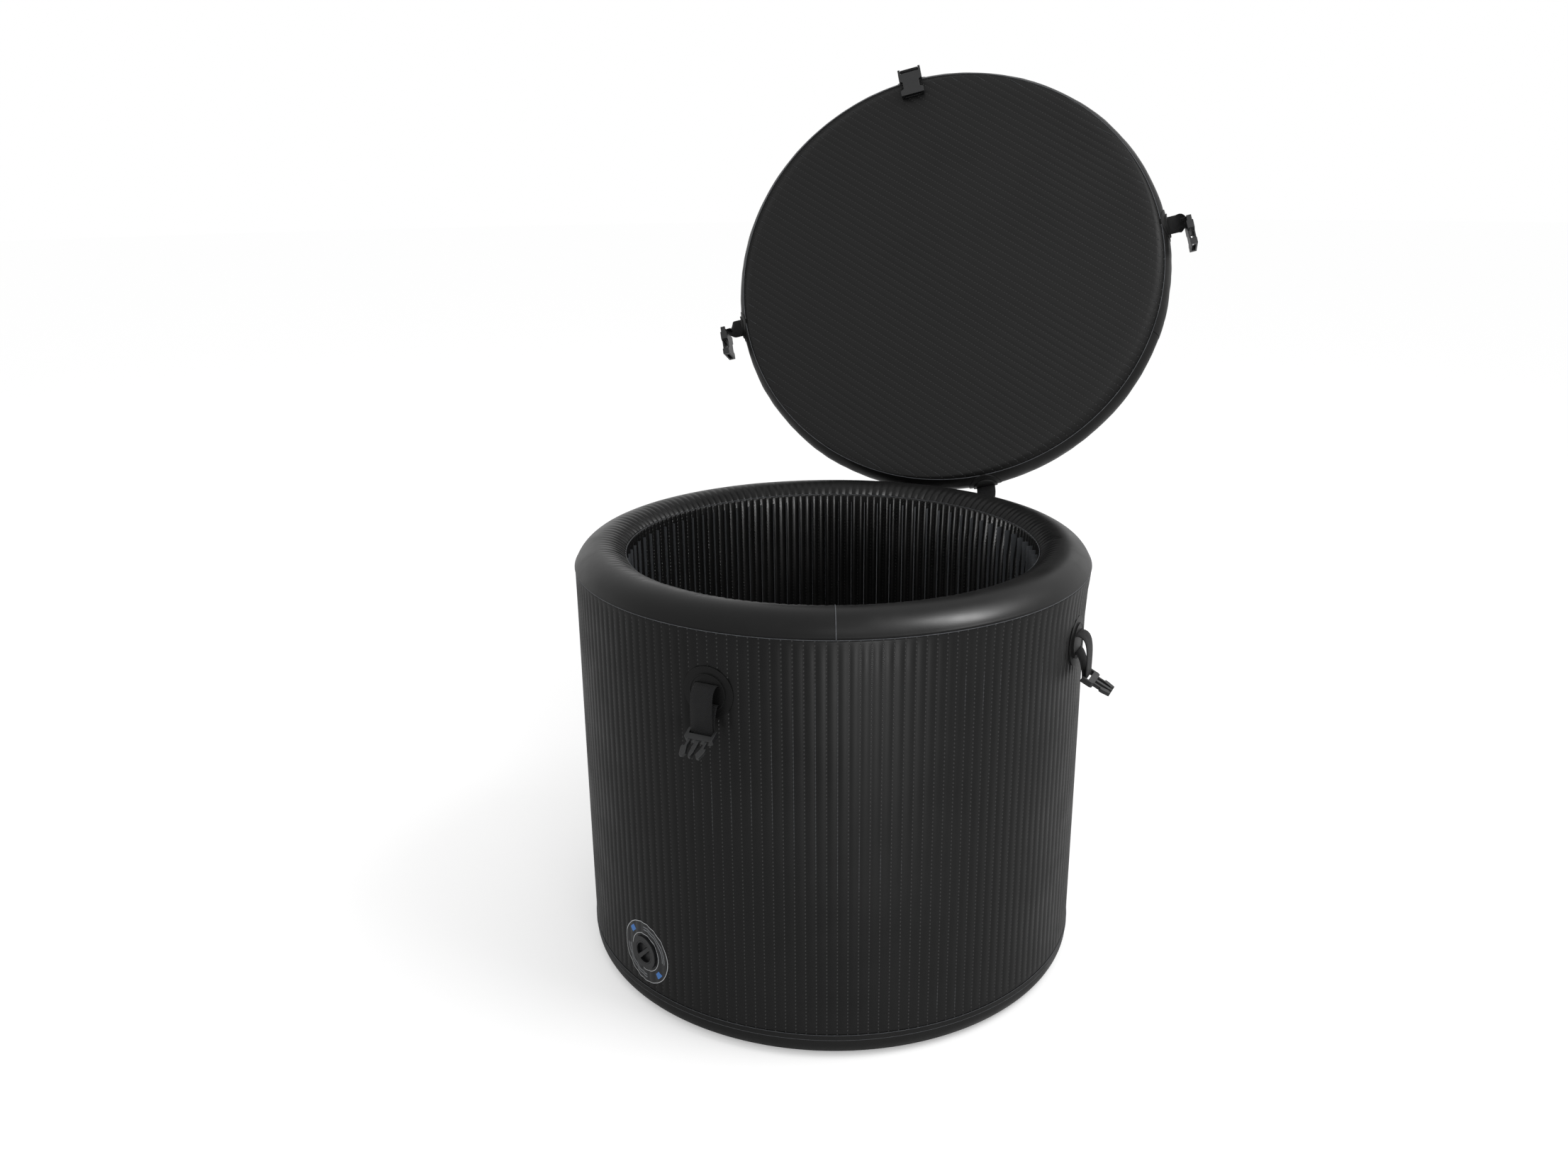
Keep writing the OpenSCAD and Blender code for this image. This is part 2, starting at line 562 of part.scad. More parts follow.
// One unbroken wire that winds up round the stem, from the hub to the button
coil_n = spring_turns * spring_steps;
coil_rise = spring_l - 2 * spring_wire_r;
function coil_z(i) = spring_wire_r + coil_rise * i / coil_n;
function coil_ring(i) = let (a = i * 360 / spring_steps) [for (j = [0:spring_sides - 1])
  let (b = j * 360 / spring_sides + 90, r = spring_r + spring_wire_r * cos(b))
    [r * cos(a), r * sin(a), coil_z(i) + spring_wire_r * sin(b)]];
echo(least_gap_between_turns = coil_rise / spring_turns - 2 * spring_wire_r);
module valve_spring_form() color("#b9bcc0") translate([0, 0, -valve_floor_z]) let (s = spring_sides)
  polyhedron(points = [for (i = [0:coil_n]) each coil_ring(i)], faces = concat([[for (j = [0:s - 1]) j]],
    [[for (j = [s - 1:-1:0]) coil_n * s + j]],
    [for (i = [0:coil_n - 1]) for (j = [0:s - 1]) let (a = i * s + j, b = i * s + (j + 1) % s)
      each [[a, a + s, b], [b, a + s, b + s]]]));
module valve_cap_form() color("#17181a") translate([0, 0, -valve_ledge_z]) {
  cylinder(r = valve_recess_r - seat_gap, h = cap_t, $fn = round_fn);
  ring(valve_recess_r - seat_gap - cap_rim_w, valve_recess_r - seat_gap,
    valve_ledge_z + seal_t + valve_flange_t, round_fn);
  intersection() {
    rotate([0, 0, 45]) translate([-valve_recess_r, -cap_bar_w / 2, 0])
      cube([2 * valve_recess_r, cap_bar_w, valve_ledge_z + seal_t + valve_flange_t]);
    cylinder(r = valve_recess_r - seat_gap - cap_rim_w / 2, h = 3 * valve_ledge_z, $fn = round_fn);
  }
}
module valve_nut_form(top) color("#202225") translate([0, 0, -skin_t - valve_nut_t])
  ring(valve_recess_r + valve_wall, valve_recess_r + valve_wall + valve_nut_w, valve_nut_t + top, round_fn);
module wall_valve() azimuth(valve_az) on_wall(tub_r, valve_z) children();
module wall_body(r) cylinder(r = r, h = tub_h, $fn = ring_fn);
// The flange is hollowed to the wall's curve, and the barrel goes through
module valve_body() difference() {
  wall_valve() valve_body_form(sag);
  difference() {
    wall_body(tub_r + seal_t);
    wall_valve() translate([0, 0, -valve_depth - cut])
      cylinder(r = valve_recess_r + valve_wall, h = 2 * valve_depth, $fn = round_fn);
  }
}
module valve_nut() intersection() {
  wall_valve() valve_nut_form(0);
  wall_body(tub_r - skin_t);
}
module valve_seal() color("#101112") azimuth(valve_az) translate([0, 0, valve_z]) difference() {
  wall_round(tub_r, tub_r + seal_t, valve_flange_r);
  rotate([90, 0, 0]) cylinder(r = valve_recess_r + valve_wall, h = 2 * tub_r, $fn = round_fn);
}
module valve_label() color("#3a6fb5") azimuth(valve_az) translate([0, 0, valve_z]) difference() {
  wall_round(tub_r, tub_r + label_t, label_r);
  rotate([90, 0, 0]) cylinder(r = label_inner_r, h = 2 * tub_r, $fn = round_fn);
}
module valve_pin() wall_valve() valve_pin_form();
module valve_spring() wall_valve() valve_spring_form();
module valve_cap() wall_valve() valve_cap_form();
module lid_valve_body() opened() lid_valve_place() valve_body_form(0);
module lid_valve_nut() opened() lid_valve_place() valve_nut_form(0);
module lid_valve_seal() color("#101112") opened() lid_valve_place()
  ring(valve_recess_r + valve_wall, valve_flange_r, seal_t, round_fn);
module lid_valve_pin() opened() lid_valve_place() valve_pin_form();
module lid_valve_spring() opened() lid_valve_place() valve_spring_form();
module lid_valve_cap() opened() lid_valve_place() valve_cap_form();

// Drain, drawn with zero at the wall's outer surface and outside up
module wall_drain() azimuth(drain_az) on_wall(tub_r, drain_z) children();
module drain_pipe() color("#202225") difference() {
  union() {
    wall_drain() translate([0, 0, -wall_t - drain_flange_t]) cylinder(r = drain_pipe_r,
      h = wall_t + drain_flange_t + drain_spigot_l, $fn = round_fn);
    intersection() {
      wall_drain() translate([0, 0, -wall_t - drain_flange_t]) cylinder(r = drain_flange_r,
        h = 2 * drain_flange_t, $fn = round_fn);
      wall_body(inner_r - seal_t - 2 * film);
    }
  }
  wall_drain() translate([0, 0, -wall_t - 2 * drain_flange_t]) cylinder(r = drain_bore_r,
    h = wall_t + 2 * drain_flange_t + drain_spigot_l + cut, $fn = round_fn);
}
module drain_seal_ring(r1, r2) color("#101112") difference() {
  azimuth(drain_az) translate([0, 0, drain_z]) wall_round(r1, r2, drain_flange_r);
  wall_drain() translate([0, 0, -2 * wall_t]) cylinder(r = drain_pipe_r, h = 3 * wall_t, $fn = round_fn);
}
module drain_inner_seal() drain_seal_ring(inner_r - seal_t - film, inner_r - film);
module drain_outer_seal() drain_seal_ring(tub_r, tub_r + seal_t);
module drain_nut() color("#202225") difference() {
  wall_drain() translate([0, 0, -seal_t])
    ring(drain_pipe_r, drain_pipe_r + drain_nut_w, drain_nut_t + 2 * seal_t, round_fn);
  wall_body(tub_r + seal_t);
}
module drain_strainer() color("#202225") wall_drain() translate([0, 0, -wall_t - drain_flange_t]) difference() {
  cylinder(r = drain_bore_r, h = strainer_t, $fn = round_fn);
  translate([0, 0, -cut]) cylinder(r = strainer_hole_r, h = 2 * strainer_t, $fn = round_fn);
  for (i = [0:strainer_holes - 1]) rotate([0, 0, i * 360 / strainer_holes])
    translate([strainer_ring_r, 0, -cut]) cylinder(r = strainer_hole_r, h = 2 * strainer_t, $fn = round_fn);
}
module drain_cap() color("#17181a") wall_drain() translate([0, 0, drain_spigot_l]) {
  cylinder(r = drain_pipe_r + seat_gap + drain_cap_wall, h = drain_cap_top, $fn = round_fn);
  translate([0, 0, -drain_cap_l]) difference() {
    union() {
      cylinder(r = drain_pipe_r + seat_gap + drain_cap_wall, h = drain_cap_l, $fn = round_fn);
      for (i = [0:drain_grips - 1]) rotate([0, 0, i * 360 / drain_grips])
        translate([drain_pipe_r + drain_cap_wall, 0, 0]) cylinder(r = drain_grip_r, h = drain_cap_l, $fn = round_fn);
    }
    translate([0, 0, -cut]) cylinder(r = drain_pipe_r + seat_gap, h = drain_cap_l + cut, $fn = round_fn);
  }
}

outer_wall_skin();
inner_wall_skin();
wall_stitch_core();
rim_band();
base_band();
base_sheet();
floor_sheet();
floor_stitch_core();
floor_corner_tape();
tub_patch_front();
tub_patch_right();
tub_patch_rear();
tub_patch_left();
front_loop_webbing();
right_loop_webbing();
left_loop_webbing();
front_plug();
right_plug();
left_plug();
rear_disc();
rear_lower_webbing();
rear_plug();
rear_socket();
rear_upper_webbing();
lid_underside_skin();
lid_top_skin();
lid_edge_band();
lid_stitch_core();
lid_patch_front();
lid_patch_right();
lid_patch_rear();
lid_patch_left();
lid_front_webbing();
lid_right_webbing();
lid_left_webbing();
lid_front_socket();
lid_right_socket();
lid_left_socket();
valve_label();
valve_body();
valve_nut();
valve_seal();
valve_pin();
valve_spring();
valve_cap();
lid_valve_body();
lid_valve_nut();
lid_valve_seal();
lid_valve_pin();
lid_valve_spring();
lid_valve_cap();
drain_pipe();
drain_inner_seal();
drain_outer_seal();
drain_nut();
drain_strainer();
drain_cap();
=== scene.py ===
import bpy
import bmesh
from math import atan2, cos, degrees, hypot, pi, radians, sin, sqrt
from mathutils import Matrix, Vector, noise
from mathutils.geometry import interpolate_bezier


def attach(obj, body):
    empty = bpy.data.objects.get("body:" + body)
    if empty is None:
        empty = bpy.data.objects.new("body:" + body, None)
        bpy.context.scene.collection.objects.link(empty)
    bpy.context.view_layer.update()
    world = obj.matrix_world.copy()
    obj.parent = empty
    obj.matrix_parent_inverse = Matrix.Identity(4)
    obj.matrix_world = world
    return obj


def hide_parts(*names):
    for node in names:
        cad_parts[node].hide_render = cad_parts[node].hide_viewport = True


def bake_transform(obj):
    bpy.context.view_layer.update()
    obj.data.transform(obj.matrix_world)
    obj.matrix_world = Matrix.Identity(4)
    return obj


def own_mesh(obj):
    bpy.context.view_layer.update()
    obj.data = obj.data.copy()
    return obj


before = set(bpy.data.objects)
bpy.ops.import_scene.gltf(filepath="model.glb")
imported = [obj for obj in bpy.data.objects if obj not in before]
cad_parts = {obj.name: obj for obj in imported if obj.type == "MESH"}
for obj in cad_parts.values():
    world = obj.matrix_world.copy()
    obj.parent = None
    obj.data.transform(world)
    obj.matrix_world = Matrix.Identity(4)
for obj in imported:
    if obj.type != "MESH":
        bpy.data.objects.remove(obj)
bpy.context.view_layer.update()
mm = 0.001

# Camera: it stands in front and to the right, a little above the lid's strap, and looks down into the tub.
# Its place, lens and slight roll come from fitting the rings of the rim, the foot and the lid.
eye = Vector((0.927, -2.062, 1.412))
look = Vector((-0.421, 0.851, -0.312)).normalized()
roll = radians(0.69)
camera = bpy.data.objects.new("camera", bpy.data.cameras.new("camera"))
camera.data.sensor_width = 36
camera.data.lens = 29.97
camera.matrix_world = (Matrix.Translation(eye) @ Matrix.Rotation(roll, 4, look)
                       @ look.to_track_quat("-Z", "Y").to_matrix().to_4x4())
bpy.context.scene.collection.objects.link(camera)
bpy.context.scene.camera = camera


# Materials: small steps from which each piece's own material is put together.
def linear(code):
    """A colour code as linear red, green, blue and alpha."""
    channels = [int(code[i:i + 2], 16) / 255 for i in (1, 3, 5)]
    return [c / 12.92 if c < 0.04045 else ((c + 0.055) / 1.055) ** 2.4 for c in channels] + [1]


def new_material(name):
    """A new, empty material and its tree of nodes."""
    material = bpy.data.materials.new(name)
    material.use_nodes = True
    material.node_tree.nodes.clear()
    return material, material.node_tree


def add(tree, kind, inputs=(), **settings):
    """Adds a node to a material, with its settings, and its inputs as values or as links."""
    node = tree.nodes.new("ShaderNode" + kind)
    for name, value in settings.items():
        setattr(node, name, value)
    for socket, value in dict(inputs).items():
        if isinstance(value, bpy.types.NodeSocket):
            tree.links.new(value, node.inputs[socket])
        else:
            node.inputs[socket].default_value = value
    return node


def reckon(tree, operation, *values):
    """One step of arithmetic on values or links."""
    return add(tree, "Math", dict(enumerate(values)), operation=operation).outputs[0]


def mixed(tree, share, first, second):
    """Two colours, given as codes or as links, mixed by a share."""
    ends = [linear(c) if isinstance(c, str) else c for c in (first, second)]
    return add(tree, "Mix", {0: share, 6: ends[0], 7: ends[1]}, data_type="RGBA").outputs[2]


def cloud(tree, size, detail, where=None, **more):
    """Soft noise in patches of a size, laid through the piece or over a map of it."""
    if where is None:
        where = add(tree, "TexCoord").outputs["Object"]
    inputs = {"Vector": where, "Scale": 1 / size, "Detail": detail, **more}
    return add(tree, "TexNoise", inputs).outputs[0]


def spread(tree, value, span, to, **settings):
    """Carries a value from one span over to another."""
    inputs = {"Value": value, "From Min": span[0], "From Max": span[1], "To Min": to[0], "To Max": to[1]}
    return add(tree, "MapRange", inputs, **settings).outputs[0]


def bumped(tree, height, strength, distance, under=None, invert=False):
    """Raises the surface by a height, on top of an earlier bump if there is one."""
    inputs = {"Height": height, "Strength": strength, "Distance": distance}
    if under is not None:
        inputs["Normal"] = under
    return add(tree, "Bump", inputs, invert=invert).outputs[0]


def surface(tree, inputs):
    """Closes a material with its shader."""
    shader = add(tree, "BsdfPrincipled", inputs)
    add(tree, "OutputMaterial", {0: shader.outputs[0]})


def mottled(name, size, detail, tones, finish):
    """A material whose tone drifts between two in patches of one size."""
    material, tree = new_material(name)
    colour = mixed(tree, cloud(tree, size, detail), *tones)
    surface(tree, {"Base Color": colour, **finish})
    return material


def moulded_plastic(name, wear_size, tones, gloss, grain_size, grain, shine):
    """Moulded plastic: a fine grain from the mould, with tone and gloss that drift where it was handled."""
    material, tree = new_material(name)
    wear = cloud(tree, wear_size, 4)
    surface(tree, {"Base Color": mixed(tree, wear, *tones), "Roughness": spread(tree, wear, (0, 1), gloss),
                   "Normal": bumped(tree, cloud(tree, grain_size, 2), *grain), "Specular IOR Level": shine})
    return material


def recolour(node, material):
    """Gives its material to a part that keeps the solid's own shape."""
    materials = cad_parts[node].data.materials
    materials.clear()
    materials.append(material)


# Shapes: steps that several pieces share.
def clamped(value):
    """The value, held between 0 and 1."""
    return min(1, max(0, value))


def eased(value):
    """The value, held between 0 and 1, with a soft start and a soft end."""
    value = clamped(value)
    return value * value * (3 - 2 * value)


def wobble(turn, times, third):
    """Smooth noise that runs round the tub and closes on itself, and changes along a third direction."""
    return noise.noise(Vector((cos(turn) * times, sin(turn) * times, third)))


def spun(profile, steps, sweep=2 * pi, closed=False):
    """Bends a grid round the tub's axis, from +X on, with its rows along a profile of radius and height."""
    rows = profile + profile[:1] if closed else profile
    bm = bmesh.new()
    bmesh.ops.create_grid(bm, x_segments=steps, y_segments=len(rows) - 1, size=1)
    for v in bm.verts:
        r, z = rows[round((v.co.y + 1) / 2 * (len(rows) - 1))]
        turn = (v.co.x + 1) / 2 * sweep
        v.co = (r * cos(turn), r * sin(turn), z)
    bmesh.ops.remove_doubles(bm, verts=bm.verts, dist=0.01 * mm)
    bmesh.ops.recalc_face_normals(bm, faces=bm.faces)
    return bm


def bead(radius, height, thick):
    """The six sided section of a thin line that runs round the tub or the lid."""
    return [(radius + thick * cos(k * pi / 3), height + thick * sin(k * pi / 3)) for k in range(6)]


def make(name, bm, material, thickness=0, crease=40):
    """Makes the piece from its mesh, smooth but for edges sharper than the crease, and gives a skin its
    thickness."""
    mesh = bpy.data.meshes.new(name)
    bm.to_mesh(mesh)
    bm.free()
    mesh.shade_smooth()
    mesh.set_sharp_from_angle(angle=radians(crease))
    mesh.materials.append(material)
    made = bpy.data.objects.new(name, mesh)
    bpy.context.scene.collection.objects.link(made)
    if thickness:
        wall = made.modifiers.new("thickness", "SOLIDIFY")
        wall.thickness = thickness
        wall.offset = -1
    return made


def cut_hole(bm, centre, axis, radius):
    """Cuts a round hole, as twelve short straight cuts, where a fitting passes through a skin."""
    axis = Vector(axis).normalized()
    side = axis.orthogonal().normalized()
    wide, deep = 120 * mm, 90 * mm

    def off(point):
        away = point - centre
        return (away - axis * away.dot(axis)).length
    near = {f for f in bm.faces if min(off(v.co) for v in f.verts) < wide
            and abs((f.calc_center_median() - centre).dot(axis)) < deep}
    for k in range(12):
        out = Matrix.Rotation(k * pi / 6, 3, axis) @ side
        near = {f for f in near if f.is_valid}
        geom = [*near, *{e for f in near for e in f.edges}, *{v for f in near for v in f.verts}]
        cut = bmesh.ops.bisect_plane(bm, geom=geom, dist=0.001 * mm, plane_co=centre + out * radius,
                                     plane_no=out)
        near = {g for g in cut["geom"] if isinstance(g, bmesh.types.BMFace)}
    inside = [f for f in near if f.is_valid and off(f.calc_center_median()) < radius
              and all(off(v.co) < radius * 1.05 for v in f.verts)]
    bmesh.ops.delete(bm, geom=inside, context="FACES")


def grow(bm, edges):
    """Extrudes a row of edges, and gives the new points and the new row."""
    made = bmesh.ops.extrude_edge_only(bm, edges=edges)["geom"]
    points = {g for g in made if isinstance(g, bmesh.types.BMVert)}
    return points, [g for g in made if isinstance(g, bmesh.types.BMEdge) and set(g.verts) <= points]


def merged_copy(node):
    """A solid's mesh, with its doubled points joined."""
    bm = bmesh.new()
    bm.from_mesh(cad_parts[node].data)
    bmesh.ops.remove_doubles(bm, verts=bm.verts, dist=0.004 * mm)
    return bm


def moulded(node, name, round_off, material, body):
    """A moulded part from its solid: a merged copy, with its sharp edges rounded as the mould leaves them."""
    bm = merged_copy(node)
    bmesh.ops.dissolve_limit(bm, angle_limit=radians(0.4), verts=bm.verts, edges=bm.edges)
    edges = [e for e in bm.edges if len(e.link_faces) == 2 and e.calc_face_angle(0) > radians(32)]
    bmesh.ops.bevel(bm, geom=edges, offset=round_off, offset_type="OFFSET", segments=3, profile=0.5,
                    affect="EDGES", clamp_overlap=False, material=-1)
    made = make(name, bm, material, crease=38)
    made.modifiers.new("flat_faces", "WEIGHTED_NORMAL").keep_sharp = True
    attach(made, body)
    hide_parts(node)
    return made


# Outer wall: PVC coated drop stitch fabric, glued into a cylinder and blown tight. The yarn inside pulls it
# in along upright rows, so it stands in shallow ribs with a line of stitch dots in each valley.
tub_r, wall_t, skin_t = 455 * mm, 96 * mm, 1.2 * mm
band_top, outer_seam_z = 45 * mm, 737 * mm
wall_ribs, rib_depth = 168, 1.1 * mm
around = wall_ribs * 6
stitch = 6.8 * mm
valve_hole, drain_hole = 26 * mm, 20.5 * mm


def valley(place):
    """The form of a rib: 1 in the sharp valley at each whole number, and 0 on the round crown between."""
    return 1 - sin(pi * (place % 1))


def rib_inset(angle, depth=rib_depth):
    """How far a wall skin is pulled in at an angle by the rows of yarn."""
    return depth * valley(angle / (2 * pi) * wall_ribs)


def flare(bm):
    """No yarn holds the rim. The air pushes it and the top of the wall out a little, most on the right."""
    flare_from, flare_over, flare_by, flare_side = 668 * mm, 72 * mm, 6.5 * mm, radians(26)
    for v in bm.verts:
        right = max(0, cos(atan2(v.co.y, v.co.x) - flare_side)) ** 2
        v.co.xy *= 1 + flare_by * right * eased((v.co.z - flare_from) / flare_over) / v.co.xy.length
    return bm


def on_the_wall(turn, z, inset=0):
    """A place on the outer wall, with its turn counted from the front."""
    return Vector(((tub_r - inset) * sin(turn), -(tub_r - inset) * cos(turn), z))


def drop_stitch_pvc(name, dark, dots, gloss, place, row_pitch, dot_pitch, dot_size, pit, shine=0.2,
                    grained=0.12):
    """PVC coated drop stitch fabric: a dark satin skin with a fine grain, faint blotches where the glue and
    the calender left it duller, and a pit with a paler dot at each stitch."""
    material, tree = new_material(name)
    across, along = [reckon(tree, "PINGPONG", value, 0.5) for value in place(tree)]
    reach = add(tree, "CombineXYZ", {0: reckon(tree, "MULTIPLY", across, row_pitch),
                                     1: reckon(tree, "MULTIPLY", along, dot_pitch * 0.7)}).outputs[0]
    away = add(tree, "VectorMath", {0: reach}, operation="LENGTH").outputs["Value"]
    dot = spread(tree, away, (dot_size * 0.45, dot_size), (1, 0), interpolation_type="SMOOTHSTEP")
    blotch = cloud(tree, 130 * mm, 4, Roughness=0.6)
    colour = mixed(tree, dot, mixed(tree, blotch, *dark), dots)
    fine = bumped(tree, cloud(tree, 1.4 * mm, 2), grained, 0.25 * mm)
    surface(tree, {"Base Color": colour, "Roughness": spread(tree, blotch, (0.3, 0.7), gloss),
                   "Normal": bumped(tree, dot, 0.9, pit, fine, invert=True), "Specular IOR Level": shine})
    return material


def round_the_wall(pitch):
    """Place on an upright wall: ribs counted round the axis, and stitches counted up it."""
    def place(tree):
        x, y, z = add(tree, "SeparateXYZ", {0: add(tree, "TexCoord").outputs["Object"]}).outputs
        turn = reckon(tree, "ARCTAN2", y, x)
        return reckon(tree, "MULTIPLY", turn, wall_ribs / (2 * pi)), reckon(tree, "MULTIPLY", z, 1 / pitch)
    return place


wall_pvc = drop_stitch_pvc(
    "satin_pvc_on_drop_stitch", ("#0c0c0c", "#131313"), "#2a2a2a", (0.36, 0.5), round_the_wall(stitch),
    row_pitch=17 * mm, dot_pitch=stitch, dot_size=1.5 * mm, pit=0.5 * mm, shine=0.12)
valve_turn, valve_z = radians(-20.3), 114 * mm
drain_turn, drain_z = radians(225), 106 * mm
valve_at, drain_at = on_the_wall(valve_turn, valve_z), on_the_wall(drain_turn, drain_z)
heights = (45, 50, 56, 64, 90, 150, 250, 350, 450, 550, 650, 700, 716, 726, 732, 737)
bm = spun([(tub_r, z * mm) for z in heights], around)
for v in bm.verts:
    turn = atan2(v.co.y, v.co.x)
    fade = clamped(min((v.co.z - band_top) / (14 * mm), (outer_seam_z - v.co.z) / (16 * mm)))
    sway = 0.5 * mm * wobble(turn, 3, v.co.z * 6)
    v.co.xy *= 1 - (rib_inset(turn) - sway) * fade / tub_r
flare(bm)
cut_hole(bm, valve_at, (valve_at.x, valve_at.y, 0), valve_hole)
cut_hole(bm, drain_at, (drain_at.x, drain_at.y, 0), drain_hole)
outer_wall = make("tub_outer_wall", bm, wall_pvc, skin_t)
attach(outer_wall, "tub")
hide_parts("outer_wall_skin")

# Inner wall: the same fabric on the wet side of the wall. It is wiped and shinier, and its ribs crowd
# together and stand out more on the smaller circle. The wall leans out a little towards the rim, and
# just below the seam it curves out to meet it. Its tones and stitch dots are a darker copy of the outer
# wall's, as painted shade of the tub's inside, so its stitches show only as faint dots.
inner_r, inner_seam_z, floor_h = tub_r - wall_t, 753 * mm, 52 * mm
rim_lean, lean_from = 6 * mm, 150 * mm
tuck, tuck_from = 1.6 * mm, 726 * mm
# Painted shade: the tones and the stitch dots here are set darker than on the outer wall, for the shade
# inside the tub.
inner_pvc = drop_stitch_pvc(
    "glossy_pvc_on_drop_stitch_with_painted_shade", ("#060606", "#0b0b0b"), "#1c1c1c", (0.24, 0.34), round_the_wall(stitch),
    row_pitch=13.4 * mm, dot_pitch=stitch, dot_size=1.4 * mm, pit=0.3 * mm, shine=0.32, grained=0.04)
heights = (52, 60, 90, 200, 330, 460, 560, 640, 690, 712, 726, 736, 744, 749, 753)
bm = spun([(inner_r, z * mm) for z in heights], around)
for v in bm.verts:
    turn, fade = atan2(v.co.y, v.co.x), clamped((v.co.z - floor_h) / (12 * mm))
    lean = rim_lean * clamped((v.co.z - lean_from) / (inner_seam_z - lean_from))
    top = clamped((v.co.z - tuck_from) / (inner_seam_z - tuck_from))
    v.co.xy *= 1 + (rib_inset(turn, 2.6 * mm) * fade + lean + tuck * (top * top - 1)) / inner_r
flare(bm)
through = Vector((drain_at.x * inner_r / tub_r, drain_at.y * inner_r / tub_r, drain_z))
cut_hole(bm, through, (drain_at.x, drain_at.y, 0), drain_hole)
bmesh.ops.reverse_faces(bm, faces=bm.faces)
inner_wall = make("tub_inner_wall", bm, inner_pvc, skin_t)
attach(inner_wall, "tub")
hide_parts("inner_wall_skin")

# Rim band: a plain strip of calendered PVC, wrapped over the top of the wall and glued down both sides. It
# is smooth on the crown, and towards the inner seam the ribs and the pull of the glue flute and pucker it.
rim_r, rim_mid, rim_z = 52.5 * mm, 405.5 * mm, 719.5 * mm
rim_start, rim_end, rim_steps = radians(19.5), radians(140.35), 36
rim_turns = [rim_start + (rim_end - rim_start) * i / rim_steps for i in range(rim_steps + 1)]
pucker_full, pucker_over = 140, 50  # degrees round the rim's section, counted from its outer side
lip_at, lip_over, lip_out = 21.5, 2, 0.5 * mm


def plain_pvc(name, dark, gloss, grain_depth):
    """Calendered PVC strip: nearly smooth, with a leather like grain too fine to see, drawn here at 2 mm, and
    soft streaks of gloss where it was rubbed down."""
    material, tree = new_material(name)
    streak = cloud(tree, 90 * mm, 5, Roughness=0.65)
    where = add(tree, "TexCoord").outputs["Object"]
    grain = add(tree, "TexVoronoi", {"Vector": where, "Scale": 1 / (2 * mm)}).outputs[0]
    soft = bumped(tree, streak, 0.25, 0.8 * mm)
    rough = spread(tree, streak, (0.3, 0.7), gloss)
    surface(tree, {"Base Color": mixed(tree, streak, *dark), "Roughness": rough,
                   "Normal": bumped(tree, grain, grain_depth, 0.2 * mm, soft), "Specular IOR Level": 0.16})
    return material


def on_the_rim(turns, off=0):
    """The rim's round section at some angles, as radius and height, a little off its surface if need be."""
    return [(rim_mid + (rim_r + off) * cos(a), rim_z + (rim_r + off) * sin(a)) for a in turns]


band_pvc = plain_pvc("calendered_pvc_band", ("#080808", "#0f0f0f"), (0.3, 0.42), 0.12)
bm = spun(on_the_rim(rim_turns), around)
for v in bm.verts:
    turn, out = atan2(v.co.y, v.co.x), hypot(v.co.x, v.co.y) - rim_mid
    rise = degrees(atan2(v.co.z - rim_z, out))
    rib = int(turn / (2 * pi) * wall_ribs + wall_ribs)
    uneven = 0.35 * noise.noise(Vector((rib * 0.63, 4, 0)))  # from rib to rib
    back = 0.25 * cos(turn - radians(160))  # longest on the left, shortest on the right
    reach = pucker_over * (1 + uneven + back)
    pucker = clamped((rise - pucker_full + reach) / reach)
    crease = 1.2 * mm * abs(wobble(turn, 30, rise / 50))
    flute = 3.2 * mm * valley(turn / (2 * pi) * wall_ribs) ** 0.8
    swell = 0.8 * mm * wobble(turn, 4, rise / 70)
    drop = pucker * (crease + flute) - swell * (0.25 + 0.5 * pucker)
    scale = 1 - (drop - lip_out * clamped((lip_at - rise) / lip_over)) / rim_r
    v.co.xy *= (rim_mid + out * scale) / (rim_mid + out)
    v.co.z = rim_z + (v.co.z - rim_z) * scale
flare(bm)
rim = make("tub_rim_band", bm, band_pvc, skin_t)
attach(rim, "tub")
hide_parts("rim_band")

# Seam edges of the rim: the cut edge of the strip shows its grey scrim as a thin line, and where the
# strip's two ends meet, one laps over the other in front, to the right of the front strap.
scrim = mottled("cut_edge_of_pvc_scrim", 7 * mm, 3, ("#26272a", "#6a6c70"),
                {"Roughness": 0.55, "Specular IOR Level": 0.3})


def seam_line(name, radius, height, thick):
    """A thin line of cut edge that runs round the tub."""
    made = make(name, flare(spun(bead(radius, height, thick), 360, closed=True)), scrim, crease=80)
    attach(made, "tub")


seam_line("rim_outer_seam", tub_r + 0.35 * mm, outer_seam_z - 0.6 * mm, 0.55 * mm)
seam_line("rim_inner_seam", inner_r + rim_lean, inner_seam_z - 0.3 * mm, 0.45 * mm)
lap_turns = rim_turns[:31]
lap_width, lap_at = radians(0.16), radians(-90 + 25.3)
bm = spun(on_the_rim(lap_turns, 0.8 * mm) + on_the_rim(lap_turns[::-1], -0.6 * mm), 3, sweep=lap_width,
          closed=True)
bmesh.ops.holes_fill(bm, edges=bm.edges, sides=0)
bmesh.ops.rotate(bm, verts=bm.verts, cent=(0, 0, 0), matrix=Matrix.Rotation(lap_at, 3, "Z"))
bmesh.ops.recalc_face_normals(bm, faces=bm.faces)
flare(bm)
rim_joint = make("rim_band_joint", bm, scrim, crease=50)
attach(rim_joint, "tub")

# Foot: a rounded PVC band glued round the bottom of the wall, with a second narrower strip over its edge,
# and the flat base sheet that the tub stands on.
foot_r, foot_flat, foot_lap = 30 * mm, 425 * mm, 22 * mm
sole_in, strip_low = foot_flat - foot_lap, 36 * mm
foot_pvc = plain_pvc("calendered_pvc_foot", ("#090909", "#101010"), (0.4, 0.55), 0.2)


